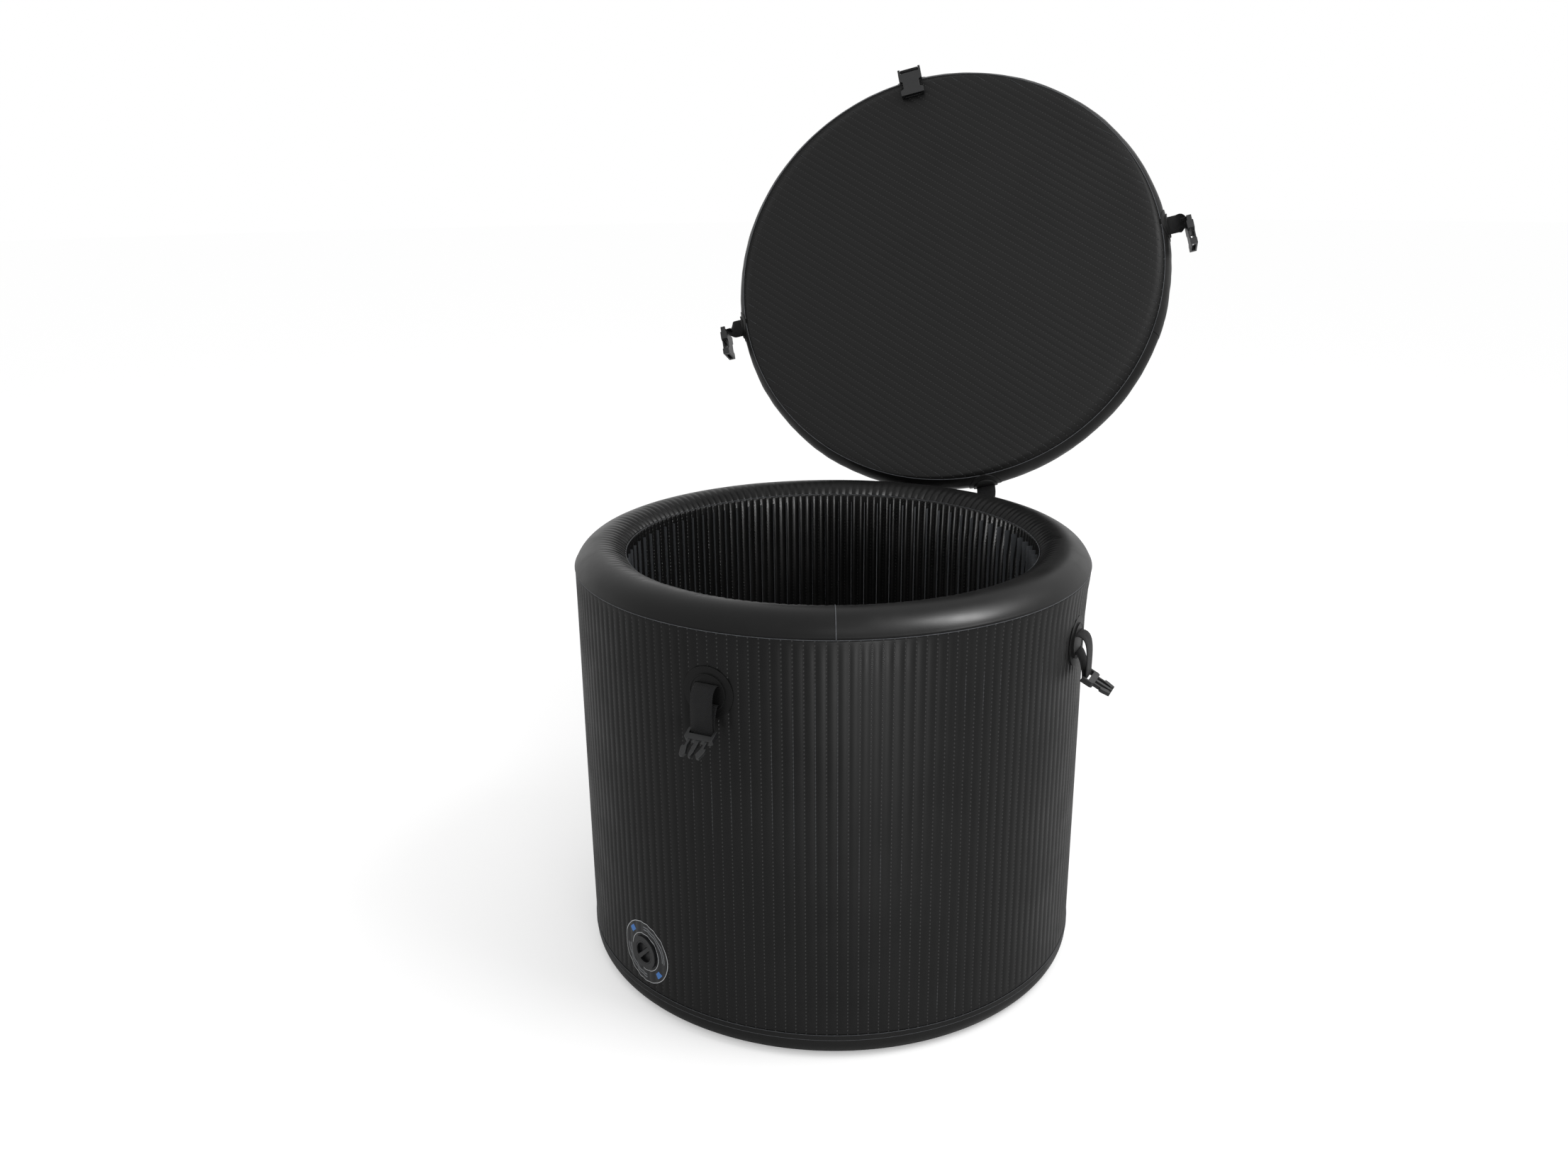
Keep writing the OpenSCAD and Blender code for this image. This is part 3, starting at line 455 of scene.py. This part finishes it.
def sole(radius, steps):
    """The foot's round corner, in steps of 7.5 degrees from its flat underside on."""
    turns = [radians(k * 7.5) for k in steps]
    return [(foot_flat + radius * sin(a), foot_r - radius * cos(a)) for a in turns]


strip = [(tub_r + 0.1 * mm, strip_low), (tub_r + 0.7 * mm, strip_low + 0.3 * mm),
         (tub_r + 0.7 * mm, band_top - 0.4 * mm), (tub_r + 0.2 * mm, band_top),
         (tub_r - skin_t, band_top), (tub_r - skin_t, foot_r)]
profile = [(sole_in, 0)] + sole(foot_r, range(13)) + strip
profile += sole(foot_r - skin_t, range(11, -1, -1)) + [(sole_in, skin_t)]
foot = make("tub_foot_band", spun(profile, 540, closed=True), foot_pvc, crease=35)
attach(foot, "tub")
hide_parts("base_band")
seam_line("foot_upper_line", tub_r + 0.45 * mm, band_top + 0.3 * mm, 0.4 * mm)
seam_line("foot_lower_line", tub_r + 0.55 * mm, strip_low, 0.35 * mm)
bm = spun([(0, 0), (sole_in, 0), (sole_in, skin_t), (0, skin_t)], 180)
base_sheet = make("tub_base_sheet", bm, foot_pvc)
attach(base_sheet, "tub")
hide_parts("base_sheet")


# Floor: the tub's floor is a thin inflated mat of its own, with straight ribs from front to back, taped to
# the wall all round with a rounded corner strip.
def ribbed_disc(radius, columns, rows, pitch, depth, lip, shoulder=0):
    """A round sheet of drop stitch fabric with straight ribs and a soft shoulder, and the place of each point
    across and along the ribs."""
    bm = bmesh.new()
    bmesh.ops.create_grid(bm, x_segments=columns, y_segments=rows, size=radius)
    for v in bm.verts:
        v.co.y *= sqrt(max(0, radius ** 2 - v.co.x ** 2)) / radius
    bmesh.ops.remove_doubles(bm, verts=bm.verts, dist=0.01 * mm)
    ribs = bm.verts.layers.float_vector.new("ribs")
    for v in bm.verts:
        v[ribs] = v.co.copy()
        fade = min(1, (radius - v.co.xy.length) / lip)
        weak = 0.75 + 0.6 * noise.noise(Vector((v.co.x * 5, v.co.y * 5, 2))) - 0.25 * v.co.y / radius
        v.co.z = -depth * weak * valley(v.co.x / pitch) * fade - shoulder * (1 - fade) ** 2
    return bm


def on_the_ribs(pitch, dot_pitch):
    """Place on a ribbed sheet: ribs counted across it, and stitches counted along them."""
    def place(tree):
        spot = add(tree, "Attribute", attribute_name="ribs").outputs["Vector"]
        x, y, _ = add(tree, "SeparateXYZ", {0: spot}).outputs
        return reckon(tree, "MULTIPLY", x, 1 / pitch), reckon(tree, "MULTIPLY", y, 1 / dot_pitch)
    return place


floor_pitch, tape, tape_round = 15 * mm, 20 * mm, 6 * mm
floor_pvc = drop_stitch_pvc(
    "wet_side_pvc_on_the_floor", ("#080808", "#0e0e0e"), "#303030", (0.25, 0.4),
    on_the_ribs(floor_pitch, stitch), row_pitch=floor_pitch, dot_pitch=stitch, dot_size=1.3 * mm,
    pit=0.4 * mm)
bm = ribbed_disc(inner_r + skin_t, 180, 30, floor_pitch, depth=0.8 * mm, lip=20 * mm)
bmesh.ops.translate(bm, verts=bm.verts, vec=(0, 0, floor_h))
floor = make("tub_floor_sheet", bm, floor_pvc, skin_t)
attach(floor, "tub")
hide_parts("floor_sheet")
corner = inner_r - 0.1 * mm
profile = [(corner, floor_h + tape), (corner - skin_t, floor_h + tape),
           (corner - skin_t, floor_h + tape_round), (corner - 2.6 * mm, floor_h + 2.6 * mm),
           (corner - tape_round, floor_h + skin_t), (corner - tape, floor_h + skin_t),
           (corner - tape, floor_h), (corner, floor_h)]
tape_piece = make("floor_corner_tape_strip", spun(profile, 300, closed=True), band_pvc, crease=50)
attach(tape_piece, "tub")
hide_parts("floor_corner_tape")

# Drop yarn: thousands of polyester threads that tie the two skins of each inflated part to each other. They
# are out of sight inside, and stay as the rows that the solids show.
yarn = mottled("polyester_drop_yarn", 1.5 * mm, 2, ("#3a3c3f", "#55585c"),
               {"Roughness": 0.8, "Sheen Weight": 0.2})
for node in ("wall_stitch_core", "floor_stitch_core", "lid_stitch_core"):
    recolour(node, yarn)

# Strap patches: moulded PVC pads glued to the wall, with a raised disc, a lip round it and slits for the
# webbing. The rear one carries a disc that turns as the strap swings.
patch_pvc = plain_pvc("moulded_pvc_patch", ("#0b0b0b", "#121212"), (0.38, 0.52), 0.25)
patch_round, plug_round, socket_round = 0.35 * mm, 0.6 * mm, 0.7 * mm
valve_round, drain_round = 0.5 * mm, 0.4 * mm
for side in ("front", "right", "left", "rear"):
    moulded("tub_patch_" + side, "wall_pad_" + side, patch_round, patch_pvc, "tub")
moulded("rear_disc", "turning_disc_rear", patch_round, patch_pvc, "rear_strap")

# Webbing: 38 mm polypropylene webbing, 1.8 mm thick, woven flat with a rib across it every couple of
# millimetres. On the tub a loop comes out of the upper slit of its patch, hangs round the plug's bar and
# goes back in below.
web_w, web_t = 38 * mm, 1.8 * mm
leg = 2.9 * mm  # from a bar's middle to the middle of the webbing round it
webbing, tree = new_material("woven_polypropylene_webbing")
weave = add(tree, "Attribute", attribute_name="weave").outputs["Vector"]
cells = add(tree, "TexBrick", {
    "Vector": weave, "Scale": 1, "Mortar Size": 0.42 * mm, "Mortar Smooth": 1, "Bias": 0,
    "Brick Width": 3.4 * mm, "Row Height": 1.7 * mm}, offset=0.5).outputs["Fac"]
tone = mixed(tree, cells, "#161617", "#080808")
surface(tree, {"Base Color": mixed(tree, cloud(tree, 0.9 * mm, 3, weave), tone, "#111112"), "Roughness": 0.62,
               "Normal": bumped(tree, cells, 0.8, 0.45 * mm, invert=True), "Specular IOR Level": 0.2,
               "Sheen Weight": 0.05})


def lay_strap(path, across):
    """Draws the webbing's rounded cross section along a path, a short step at a time, and notes its weave."""
    frames = []
    for i, point in enumerate(path):
        ahead = (path[min(i + 1, len(path) - 1)] - path[max(i - 1, 0)]).normalized()
        wide = (across[i] - ahead * across[i].dot(ahead)).normalized()
        frames.append(Matrix((wide, ahead, wide.cross(ahead))).transposed().to_4x4())
        frames[-1].translation = point
    w, t, soft = web_w / 2, web_t / 2, 0.5 * mm
    outline = [(-w, -t * 0.4), (-w, t * 0.4), (-w + soft, t), (-w * 0.4, t), (w * 0.4, t), (w - soft, t),
               (w, t * 0.4), (w, -t * 0.4), (w - soft, -t), (w * 0.4, -t), (-w * 0.4, -t), (-w + soft, -t)]
    bm = bmesh.new()
    weave = bm.verts.layers.float_vector.new("weave")
    ring = [bm.verts.new(frames[0] @ Vector((x, 0, z))) for x, z in outline]
    edges = [bm.edges.new((ring[i - 1], ring[i])) for i in range(len(ring))]
    bm.faces.new(ring)
    for v, (x, z) in zip(ring, outline):
        v[weave] = (x, 0, z)
    length = 0
    for before, after in zip(frames, frames[1:]):
        length += (after.translation - before.translation).length
        moved, edges = grow(bm, edges)
        bmesh.ops.transform(bm, matrix=after @ before.inverted(), verts=list(moved))
        for v in moved:
            spot = after.inverted() @ v.co
            v[weave] = (spot.x, length, spot.z)
    bmesh.ops.contextual_create(bm, geom=edges)
    bmesh.ops.recalc_face_normals(bm, faces=bm.faces)
    return bm


def round_bar(centre, first, last, steps=9):
    """The webbing's way round a bar, from one angle to another."""
    angles = [radians(first + (last - first) * i / steps) for i in range(steps + 1)]
    return [(centre[0] + leg * cos(a), centre[1] + leg * sin(a)) for a in angles]


def curve(a, b, c, d, count=14):
    """Points on a soft bend of webbing, from a towards b, and in to d from c."""
    return [(p.x, p.y) for p in interpolate_bezier(*[Vector((*q, 0)) for q in (a, b, c, d)], count)]


def beside(point, out=0, up=0):
    """A place near another, so many millimetres further out and up."""
    return point[0] + out * mm, point[1] + up * mm


def legs(bar):
    """The webbing's places on the outer and on the inner side of a bar."""
    return (bar[0] + leg, bar[1]), (bar[0] - leg, bar[1])


upper, lower = (tub_r + 1.6 * mm, 651 * mm), (tub_r + 1.6 * mm, 619 * mm)
loop_bar = (tub_r + 20.4 * mm, 577 * mm)
front_leg, back_leg = legs(loop_bar)
flat_path = [upper] + curve(beside(upper, 3), beside(upper, 25.5, 1), beside(front_leg, 0, 37), front_leg)
flat_path += round_bar(loop_bar, -20, -160)
flat_path += curve(back_leg, beside(back_leg, 0, 18.5), beside(lower, 8.5), beside(lower, 3)) + [lower]
for side, turn in (("front", 0), ("right", 90), ("left", -90)):
    about = Matrix.Rotation(radians(turn), 3, "Z")
    wide = about @ Vector((1, 0, 0))
    bm = lay_strap([about @ Vector((0, -r, z)) for r, z in flat_path], [wide] * len(flat_path))
    loop = make(side + "_strap_loop", bm, webbing, crease=60)
    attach(loop, "tub")
    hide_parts(side + "_loop_webbing")

# Buckles: side release buckles moulded in black acetal. The plug has two springy prongs with barbs and a
# guide between them, and hangs by its bar in the loop.
acetal = moulded_plastic("moulded_acetal", 9 * mm, ("#0e0e0f", "#191a1b"), (0.34, 0.5), 0.5 * mm,
                         (0.15, 0.12 * mm), 0.45)
for side in ("front", "right", "left"):
    moulded(side + "_plug", side + "_buckle_plug", plug_round, acetal, side + "_strap_plug")

# Rear strap: the one that stays fastened and hinges the lid. A short webbing leaves the turning disc, the
# plug and socket are clipped together, and the upper webbing twists over to the lid's own patch.
root, fold_at = Vector((0, 489 * mm, 637 * mm)), Vector((140.794 * mm, 489 * mm, 736.319 * mm))
fold_axis = Vector((0.802242, 0.449277, -0.39314))
swing = Matrix.Translation(root) @ Matrix.Rotation(radians(54.8), 4, "Y") @ Matrix.Translation(-root)
open_lid = (Matrix.Translation(fold_at) @ Matrix.Rotation(radians(-134.05), 4, fold_axis)
            @ Matrix.Translation(-fold_at) @ swing)
swung, opened = swing.to_3x3(), open_lid.to_3x3()
plug_bar, socket_bar = (489 * mm, 691 * mm), (489 * mm, 767 * mm)
outer_leg, inner_leg = legs(plug_bar)
flat_path = [upper] + curve(beside(upper, 3), beside(upper, 14), beside(inner_leg, 0, -14), inner_leg)
flat_path += round_bar(plug_bar, 170, 10)
flat_path += curve(outer_leg, beside(outer_leg, 0, -9), beside(plug_bar, -2, -14),
                   beside(plug_bar, -4.5, -23), 8)
wide = swung @ Vector((1, 0, 0))
bm = lay_strap([swing @ Vector((0, r, z)) for r, z in flat_path], [wide] * len(flat_path))
lower_web = make("rear_strap_lower", bm, webbing, crease=60)
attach(lower_web, "rear_strap")
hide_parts("rear_lower_webbing")
moulded("rear_plug", "rear_buckle_plug", plug_round, acetal, "rear_strap")
moulded("rear_socket", "rear_buckle_socket", socket_round, acetal, "rear_strap")
lid_root = open_lid @ Vector((0, 461.1 * mm, 809.3 * mm))
ribbon_start = swing @ Vector((0, socket_bar[0], socket_bar[1] + leg))
ribbon_steps = 25
ribbon = interpolate_bezier(ribbon_start, ribbon_start + swung @ Vector((0, 0, 28.7 * mm)),
                            lid_root + opened @ Vector((0, 29.5 * mm, 0)), lid_root, ribbon_steps + 1)
lid_wide = opened @ Vector((1, 0, 0))
ribbon_wide = [wide * (1 - i / ribbon_steps) + lid_wide * i / ribbon_steps for i in range(ribbon_steps + 1)]
outer_leg, inner_leg = legs(socket_bar)
wrap = curve(beside(socket_bar, 1.9, 20), beside(socket_bar, 2.2, 12), beside(outer_leg, 0, 6), outer_leg, 6)
wrap += round_bar(socket_bar, -10, -170) + [inner_leg, beside(socket_bar, -2, 4)]
points = [swing @ Vector((0, r, z)) for r, z in wrap] + ribbon[6:]
bm = lay_strap(points, [wide] * len(wrap) + ribbon_wide[6:])
upper_web = make("rear_strap_upper", bm, webbing, crease=60)
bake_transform(upper_web)
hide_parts("rear_upper_webbing")

# Lid: two round skins of the same drop stitch fabric, ribbed along one diagonal, with the yarn rows 14 mm
# apart. The lid is drawn shut and then carried back to where it leans.
lid_r, lid_face, shoulder = 459.5 * mm, 445.2 * mm, 3.5 * mm
lid_low, lid_high = 772.8 * mm, 845.8 * mm
lid_mid = (lid_low + lid_high) / 2
lid_pitch, lid_stitch = 14 * mm, 6.5 * mm
lid_pvc = drop_stitch_pvc(
    "satin_pvc_on_the_lid", ("#0e0e0e", "#151515"), "#262626", (0.4, 0.54),
    on_the_ribs(lid_pitch, lid_stitch), row_pitch=lid_pitch, dot_pitch=lid_stitch, dot_size=1.5 * mm,
    pit=0.45 * mm)
diagonal = Matrix.Rotation(radians(-45), 4, "Z")
mirror = Matrix.Scale(-1, 4, (0, 0, 1))
lid_disc = lid_face, 252, 34, lid_pitch, rib_depth, 30 * mm, shoulder
bm = ribbed_disc(*lid_disc)
bmesh.ops.transform(bm, verts=bm.verts,
                    matrix=open_lid @ Matrix.Translation((0, 0, lid_low)) @ diagonal @ mirror)
bmesh.ops.reverse_faces(bm, faces=bm.faces)
underside = make("lid_underside", bm, lid_pvc, skin_t)
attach(underside, "lid")
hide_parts("lid_underside_skin")
lid_valve = Vector((249.165 * mm, -249.165 * mm, lid_high))
bm = ribbed_disc(*lid_disc)
bmesh.ops.transform(bm, verts=bm.verts, matrix=Matrix.Translation((0, 0, lid_high)) @ diagonal)
cut_hole(bm, lid_valve, (0, 0, 1), valve_hole)
bmesh.ops.transform(bm, verts=bm.verts, matrix=open_lid)
top = make("lid_top", bm, lid_pvc, skin_t)
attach(top, "lid")
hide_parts("lid_top_skin")

# Lid edge: a plain strip of PVC glued round both skins, blown out to a soft round edge. It is a little
# wavy, shows a thin grey line at each seam, and has a lap where its ends meet.
lid_band_pvc = plain_pvc("calendered_pvc_on_the_lid", ("#0b0b0b", "#121212"), (0.34, 0.48), 0.15)
edge_r, edge_half, edge_steps = 45.26 * mm, radians(46.8), 18


def edge_profile(out):
    """The lid's round edge from its lower to its upper seam, a little off its surface if need be."""
    turns = [-edge_half + 2 * edge_half * i / edge_steps for i in range(edge_steps + 1)]
    return [(lid_r - edge_r + (edge_r + out) * cos(a), lid_mid + (edge_r + out) * sin(a)) for a in turns]


bm = spun(edge_profile(0) + edge_profile(-skin_t)[::-1], 540, closed=True)
for v in bm.verts:
    turn, rise = atan2(v.co.y, v.co.x), (v.co.z - lid_mid) / ((lid_high - lid_low) / 2)
    wave = 1.6 * mm * wobble(turn, 5, rise) + 0.7 * mm * wobble(turn, 21, rise * 2)
    v.co.xy *= 1 + wave * max(0, 1 - rise * rise) / lid_r
bmesh.ops.transform(bm, verts=bm.verts, matrix=open_lid)
edge = make("lid_edge", bm, lid_band_pvc)
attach(edge, "lid")
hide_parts("lid_edge_band")
for name, height in (("lid_underside_seam", lid_low + shoulder), ("lid_top_seam", lid_high - shoulder)):
    bm = spun(bead(lid_face, height, 0.6 * mm), 360, closed=True)
    bmesh.ops.transform(bm, verts=bm.verts, matrix=open_lid)
    seam = make(name, bm, scrim, crease=80)
    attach(seam, "lid")
bm = spun(edge_profile(0.9 * mm) + edge_profile(-0.6 * mm)[::-1], 8, sweep=radians(4), closed=True)
bmesh.ops.holes_fill(bm, edges=bm.edges, sides=0)
bmesh.ops.recalc_face_normals(bm, faces=bm.faces)
bmesh.ops.transform(bm, verts=bm.verts, matrix=open_lid @ Matrix.Rotation(radians(26), 4, "Z"))
lid_joint = make("lid_edge_joint", bm, lid_band_pvc, crease=50)
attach(lid_joint, "lid")
for side in ("front", "right", "rear", "left"):
    moulded("lid_patch_" + side, "lid_pad_" + side, 0.3 * mm, patch_pvc, "lid")

# Lid straps: the front one curls over the edge and lies on the underside. The two side ones come straight
# out of the edge, twist a quarter turn and hang their sockets plumb.
tip, front_bar = (lid_r + 1.6 * mm, lid_mid), (lid_r + 5.5 * mm, lid_mid - 45 * mm)
outer_leg, inner_leg = legs(front_bar)
flat_path = [tip] + curve(beside(tip, 3), beside(tip, 13, 1), beside(outer_leg, 3, 22), outer_leg)
flat_path += round_bar(front_bar, -20, -160)
flat_path += curve(inner_leg, beside(inner_leg, 0, 5), beside(front_bar, -1, 10),
                   beside(front_bar, 1.6, 17), 7)
bm = lay_strap([open_lid @ Vector((0, -r, z)) for r, z in flat_path], [lid_wide] * len(flat_path))
front_web = make("lid_strap_front", bm, webbing, crease=60)
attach(front_web, "lid")
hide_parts("lid_front_webbing")
moulded("lid_front_socket", "front_buckle_socket", socket_round, acetal, "front_socket")
side_bar, side_steps, bar_steps = lid_r + 42 * mm, 16, 8
twist_from, shift_from = 0.42, 0.6  # as shares of the way out to the bar
for side, turn in (("right", 90), ("left", -90)):
    about = open_lid @ Matrix.Rotation(radians(turn), 4, "Z")
    drawn, widths = [], []
    for i in range(side_steps + 1):
        t = i / side_steps
        shift = leg * max(0, (t - shift_from) / (1 - shift_from)) ** 1.5
        drawn.append(Vector((shift, -tip[0] - (side_bar - tip[0]) * t, lid_mid)))
        twist = radians(90) * eased((t - twist_from) / (1 - twist_from))
        widths.append(Vector((cos(twist), 0, sin(twist))))
    for k in range(1, bar_steps + 1):
        a = pi * k / bar_steps
        drawn.append(Vector((leg * cos(a), -side_bar - leg * sin(a), lid_mid)))
    for shift, back in ((-2.5, 5), (-2, 10), (-1.9, 16)):
        drawn.append(Vector((shift * mm, -side_bar + back * mm, lid_mid)))
    widths += [Vector((0, 0, 1))] * (len(drawn) - len(widths))
    bm = lay_strap([about @ p for p in drawn], [about.to_3x3() @ w for w in widths])
    web = make("lid_strap_" + side, bm, webbing, crease=60)
    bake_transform(web)
    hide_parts("lid_" + side + "_webbing")
    moulded("lid_" + side + "_socket", side + "_buckle_socket", socket_round, acetal, side + "_socket")

# Valves: flush inflation valves moulded in black ABS, with a screw cap sunk in the flange and a finger bar
# across it. Behind the cap a white pin rides on a small steel spring.
abs_plastic = moulded_plastic("moulded_abs", 14 * mm, ("#0d0e0f", "#17181a"), (0.45, 0.45), 0.6 * mm,
                              (0.2, 0.1 * mm), 0.4)
white_acetal = mottled("white_moulded_acetal", 6 * mm, 3, ("#d2d2cd", "#e0e0dc"), {"Roughness": 0.4})
rubber = mottled("moulded_epdm_rubber", 4 * mm, 4, ("#0b0b0c", "#18181a"),
                 {"Roughness": 0.7, "Specular IOR Level": 0.3})
steel, tree = new_material("drawn_spring_steel")
surface(tree, {"Base Color": linear("#b4b7ba"), "Metallic": 1,
               "Roughness": spread(tree, cloud(tree, 1.2 * mm, 3), (0, 1), (0.2, 0.36))})
for front in ("", "lid_"):
    carrier = "lid" if front else "tub"
    moulded(front + "valve_body", front + "valve_flange", valve_round, abs_plastic, carrier)
    moulded(front + "valve_cap", front + "valve_screw_cap", valve_round, abs_plastic,
            "lid_cap" if front else "wall_valve_cap")
    recolour(front + "valve_nut", abs_plastic)
    recolour(front + "valve_pin", white_acetal)
    recolour(front + "valve_seal", rubber)
wall_out, lid_out = Vector((valve_at.x, valve_at.y, 0)).normalized(), opened @ Vector((0, 0, 1))
for front, carrier, press, out in (("", "tub", "wall_valve_pin_press", wall_out),
                                   ("lid_", "lid", "lid_valve_pin_press", lid_out)):
    bm = merged_copy(front + "valve_spring")
    coil = make(front + "pin_return_spring", bm, steel, crease=70)
    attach(coil, carrier)
    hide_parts(front + "valve_spring")
    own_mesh(coil)

# Valve ring print: a ring printed on the wall round the lower valve, two white lines with a pair of plain
# broken arcs between them and two small blue marks.
ink, tree = new_material("screen_printed_ring")
spot = add(tree, "Attribute", attribute_name="print").outputs["Vector"]
spot_x, spot_y, _ = add(tree, "SeparateXYZ", {0: spot}).outputs
radius = add(tree, "VectorMath", {0: spot}, operation="LENGTH").outputs["Value"]
angle = reckon(tree, "ARCTAN2", spot_y, spot_x)


def within(value, middle, half_width):
    """1 where the value lies within a half width of the middle, and 0 elsewhere."""
    return reckon(tree, "COMPARE", value, middle, half_width)


def both(a, b):
    """1 where both values are 1, and 0 where either is 0."""
    return reckon(tree, "MULTIPLY", a, b)


def either(a, b):
    """The larger of two values."""
    return reckon(tree, "MAXIMUM", a, b)


# Radii of the lines, arcs and marks with their half widths, and then their turns in radians.
lines = either(within(radius, 57 * mm, 0.55 * mm), within(radius, 35 * mm, 0.5 * mm))
broken = reckon(tree, "GREATER_THAN", reckon(tree, "PINGPONG", both(angle, 14), 0.32), 0.08)
arcs = both(either(within(radius, 49 * mm, 1.1 * mm), within(radius, 44 * mm, 1.1 * mm)), broken)
arcs = both(arcs, either(within(angle, 0.75, 0.85), within(angle, -2.3, 0.8)))
marks = both(within(radius, 46.5 * mm, 5 * mm), either(within(angle, 2.35, 0.14), within(angle, -0.75, 0.14)))
print_tone = mixed(tree, cloud(tree, 5 * mm, 3, spot), "#131415", "#1b1c1e")
print_tone = mixed(tree, both(lines, 0.85), print_tone, "#c9cbcd")
print_tone = mixed(tree, both(arcs, 0.6), print_tone, "#9a9da1")
print_tone = mixed(tree, marks, print_tone, "#3f74b8")
surface(tree, {"Base Color": print_tone, "Roughness": 0.42, "Specular IOR Level": 0.32})
print_inner, print_outer, print_rings = 27 * mm, 58 * mm, 16
radii = [print_inner + (print_outer - print_inner) * k / print_rings for k in range(print_rings + 1)]
bm = bmesh.new()
bmesh.ops.create_circle(bm, segments=144, radius=print_inner)
ring = list(bm.edges)
for before, after in zip(radii, radii[1:]):
    moved, ring = grow(bm, ring)
    bmesh.ops.scale(bm, vec=(after / before, after / before, 1), verts=list(moved))
spots = bm.verts.layers.float_vector.new("print")
for v in bm.verts:
    v[spots] = v.co.copy()
    turn = valve_turn + v.co.x / tub_r
    v.co = on_the_wall(turn, valve_z + v.co.y, rib_inset(turn - pi / 2) - 0.35 * mm)
bmesh.ops.recalc_face_normals(bm, faces=bm.faces)
label = make("valve_ring_print", bm, ink, 0.3 * mm)
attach(label, "tub")
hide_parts("valve_label")

# Drain: a moulded pipe through the wall at the back, low down, with a nut, rubber washers, a strainer
# inside and a ribbed screw cap on its spout.
for node, name in (("drain_pipe", "drain_spout"), ("drain_nut", "drain_ring_nut"),
                   ("drain_strainer", "drain_grid")):
    moulded(node, name, drain_round, abs_plastic, "tub")
moulded("drain_cap", "drain_screw_top", valve_round, abs_plastic, "drain_screw_cap")
for node in ("drain_inner_seal", "drain_outer_seal"):
    recolour(node, rubber)

# Studio: a pale floor that fades into a white surround, with an even dim light from all round and five
# lamps that the camera doesn't see. A large soft one stands high on the right, and a weak one in front. The
# other three light only certain pieces: one draws the glare on the rim, one low down glints on the outer
# wall and the foot, and a tiny one inside the tub brings out the ribs of the inner wall.
paper, tree = new_material("pale_studio_floor")
floor_glow, dim_light = 0.34, 0.7
direct = reckon(tree, "MULTIPLY", add(tree, "LightPath").outputs["Is Camera Ray"], floor_glow)
glow = add(tree, "Emission", {"Color": linear("#ffffff"), "Strength": direct})
matt = add(tree, "BsdfDiffuse", {"Color": linear("#f7f7f7")})
add(tree, "OutputMaterial", {0: add(tree, "AddShader", {0: matt.outputs[0], 1: glow.outputs[0]}).outputs[0]})
floor_reach = 30
bm = bmesh.new()
bmesh.ops.create_circle(bm, cap_ends=True, segments=64, radius=floor_reach)
ground = make("studio_floor", bm, paper)
world = bpy.data.worlds.new("studio")
bpy.context.scene.world = world
world.use_nodes = True
tree = world.node_tree
tree.nodes.clear()
seen = add(tree, "LightPath").outputs
mirrored = reckon(tree, "MAXIMUM", seen["Is Glossy Ray"], seen["Is Transmission Ray"])
shown = reckon(tree, "MAXIMUM", seen["Is Camera Ray"], mirrored)
level = spread(tree, shown, (0, 1), (dim_light, 1))
sky = add(tree, "Background", {"Color": linear("#ffffff"), "Strength": level})
add(tree, "OutputWorld", {0: sky.outputs[0]})
# Each lamp: its place and aim, its size in metres, its watts, and the pieces that it lights if not all.
for name, place, aim, size, watts, lit in (
        ("soft_key", (2.2, 0.2, 3.2), (0, 0, 0.8), (2.0, 2.0), 50, ()),
        ("front_light", (1.35, -1.9, 2.7), (0, 0.1, 0.7), (0.9, 0.9), 7, ()),
        ("glare", (2.1, -0.12, 2.5), (0.3, -0.25, 0.75), (0.3, 1.1), 100, (rim,)),
        ("low_glint", (1.29, -1.65, 0.4), (0.2, -0.4, 0.4), (0.2, 0.6), 22, (outer_wall, foot)),
        ("inner_glint", (-0.16, -0.25, 0.66), (-0.2, 0.34, 0.8), (0.2, 0.04), 1.1, (inner_wall,))):
    lamp = bpy.data.lights.new(name, "AREA")
    lamp.shape, lamp.energy = "RECTANGLE", watts
    lamp.size, lamp.size_y = size
    holder = bpy.data.objects.new(name, lamp)
    holder.location = place
    holder.rotation_euler = (Vector(aim) - Vector(place)).to_track_quat("-Z", "Y").to_euler()
    bpy.context.scene.collection.objects.link(holder)
    holder.visible_camera = False
    if lit:
        group = bpy.data.collections.new(name + "_lights")
        for piece in lit:
            group.objects.link(piece)
        holder.light_linking.receiver_collection = group
bpy.context.scene.view_settings.view_transform = "Standard"
